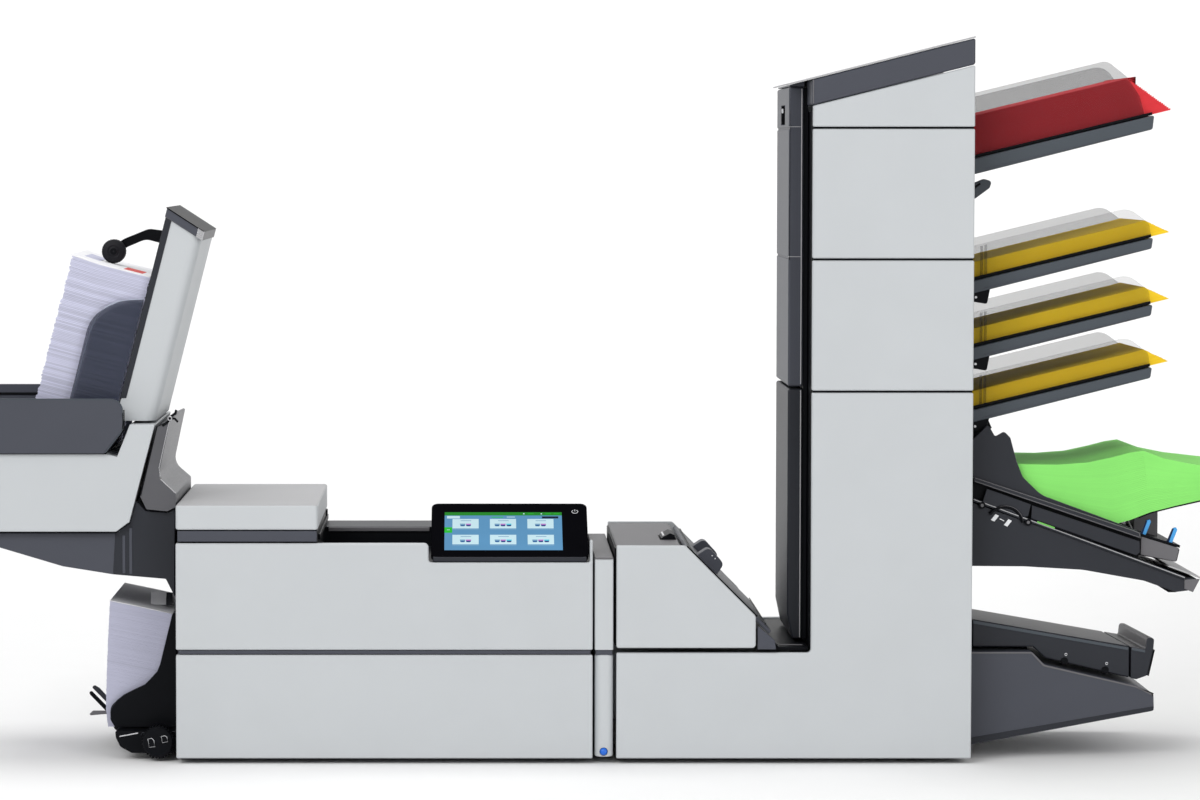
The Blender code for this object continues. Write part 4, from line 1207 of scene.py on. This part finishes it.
def back():
    slotted(
        "inserter_rear_cover", [(x, 180, 9) for x in (-470, -410, -140, -80)],
        [(x, z) for x in (-508, -250, 12) for z in (24, 270)],
    )
    slotted(
        "tower_rear_cover", [(x, 620, 14) for x in (340, 400, 460)] + [(x, 96, 8) for x in (160, 400)],
        [(x, z) for x in (322, 506) for z in (24, 300, 560, 820)] + [(68, 24), (68, 260)],
    )
    add("rear_seam_lines", [
        (box((-519, 22), (189.6, 190.5), (145.6, 147.6), 0.3), BLACK),
        (box((311, 517), (189.6, 190.5), (486.2, 488.6), 0.3), BLACK),
    ])
    add("inlet_pins", [
        *[
            (box((x - 1, x + 1), (180, 188.5), (z - 3, z + 3), 0.4), STEEL)
            for x, z in ((90, 50), (96, 54), (102, 50))
        ],
        plate(rectangle((78.4, 113.6), (34.4, 65.6), 2), 189.8, 190.8, 0.3, BLACK),
    ])
    add("rocker_marks", [
        (flat_wire(circle(128, 70, 2.4, range(0, 361, 24)), 190.6, 0.35, 6), DEEP),
        (box((127.6, 128.4), (190, 190.6), (28, 33), 0.1), DEEP),
    ])
    add("rear_service_plate", plate(rectangle((323, 505), (330, 540), 4), 189.8, 191, 0.6, TOP_GREY))


# Stage, camera and light


def stage():
    """A pale floor that bends up into a backdrop. The backdrop is see-through from its far side."""
    floor = finish("floor_paper", "stage", (0.9, 0.9, 0.9), 0.9, grain=0.02, mottle=0.004)
    nodes = floor.node_tree.nodes
    side = nodes.new("ShaderNodeNewGeometry")
    front = nodes.new("ShaderNodeMath")
    front.operation = "SUBTRACT"
    front.inputs[0].default_value = 1.0
    join(side, "Backfacing", front, 1)
    join(front, "Value", nodes["Principled BSDF"], "Alpha")
    half_width, foot, bend_radius, steps = 6000, 1500, 1200, 24
    far_y, far_z = 4200, 3200
    slope = atan2(far_z, far_y - foot)
    start = foot - bend_radius * tan(slope / 2)
    angles = [slope * i / steps for i in range(steps + 1)]
    bend = [(start + bend_radius * sin(a), bend_radius - bend_radius * cos(a)) for a in angles]
    sheet = bmesh.new()
    rows = []
    for y, z in [(-6000, 0), *bend, (far_y, far_z)]:
        rows.append([sheet.verts.new(Vector((x, y, z)) * MM) for x in (-half_width, half_width)])
    for near, far in zip(rows, rows[1:]):
        sheet.faces.new((near[0], near[1], far[1], far[0]))
    obj = to_object("studio_sweep", sheet)
    obj.data.materials.append(floor)
    obj.data.shade_smooth()


def area_light(name, place, target, size, power, color=(1, 1, 1)):
    light = bpy.data.lights.new(name, "AREA")
    light.shape = "RECTANGLE"
    light.size, light.size_y = size
    light.energy = power
    light.color = color
    obj = bpy.data.objects.new(name, light)
    obj.location = place
    obj.rotation_euler = (Vector(target) - Vector(place)).to_track_quat("-Z", "Y").to_euler()
    bpy.context.scene.collection.objects.link(obj)


def camera_and_light():
    scene = bpy.context.scene
    data = bpy.data.cameras.new("camera")
    data.lens = 126.7
    data.sensor_width = 36.0
    data.shift_x = 0.105
    data.clip_start, data.clip_end = 0.5, 60.0
    camera = bpy.data.objects.new("camera", data)
    camera.location = (-0.1312, -5.680, 0.7892)
    camera.rotation_euler = (radians(90 - 3.253), 0, 0)
    scene.collection.objects.link(camera)
    scene.camera = camera
    world = bpy.data.worlds.new("studio")
    world.use_nodes = True
    put(world.node_tree.nodes["Background"], Color=(1, 1, 1, 1), Strength=0.52)
    scene.world = world
    area_light("key", (-2.4, -4.2, 3.4), (0, 0, 0.4), (3.2, 2.4), 130)
    area_light("fill", (3.2, -4.0, 1.6), (0.2, 0, 0.4), (2.6, 2.6), 66)
    area_light("top", (0, 0.6, 3.6), (0, 0.4, 0), (4.0, 2.0), 60)
    scene.view_settings.view_transform = "Standard"


stage()
camera_and_light()
lid()
cabinet()
screen()
column()
folder()
tower()
trays()
maxi_feeder()
insert_feeder()
stacker()
backrest()
arm()
envelope_pile()
hopper()
back()

for node, obj in frame["nodes"].items():
    obj.data.materials.clear()
    obj.data.materials.append(FINISHES[NODE_SLOT[node]])
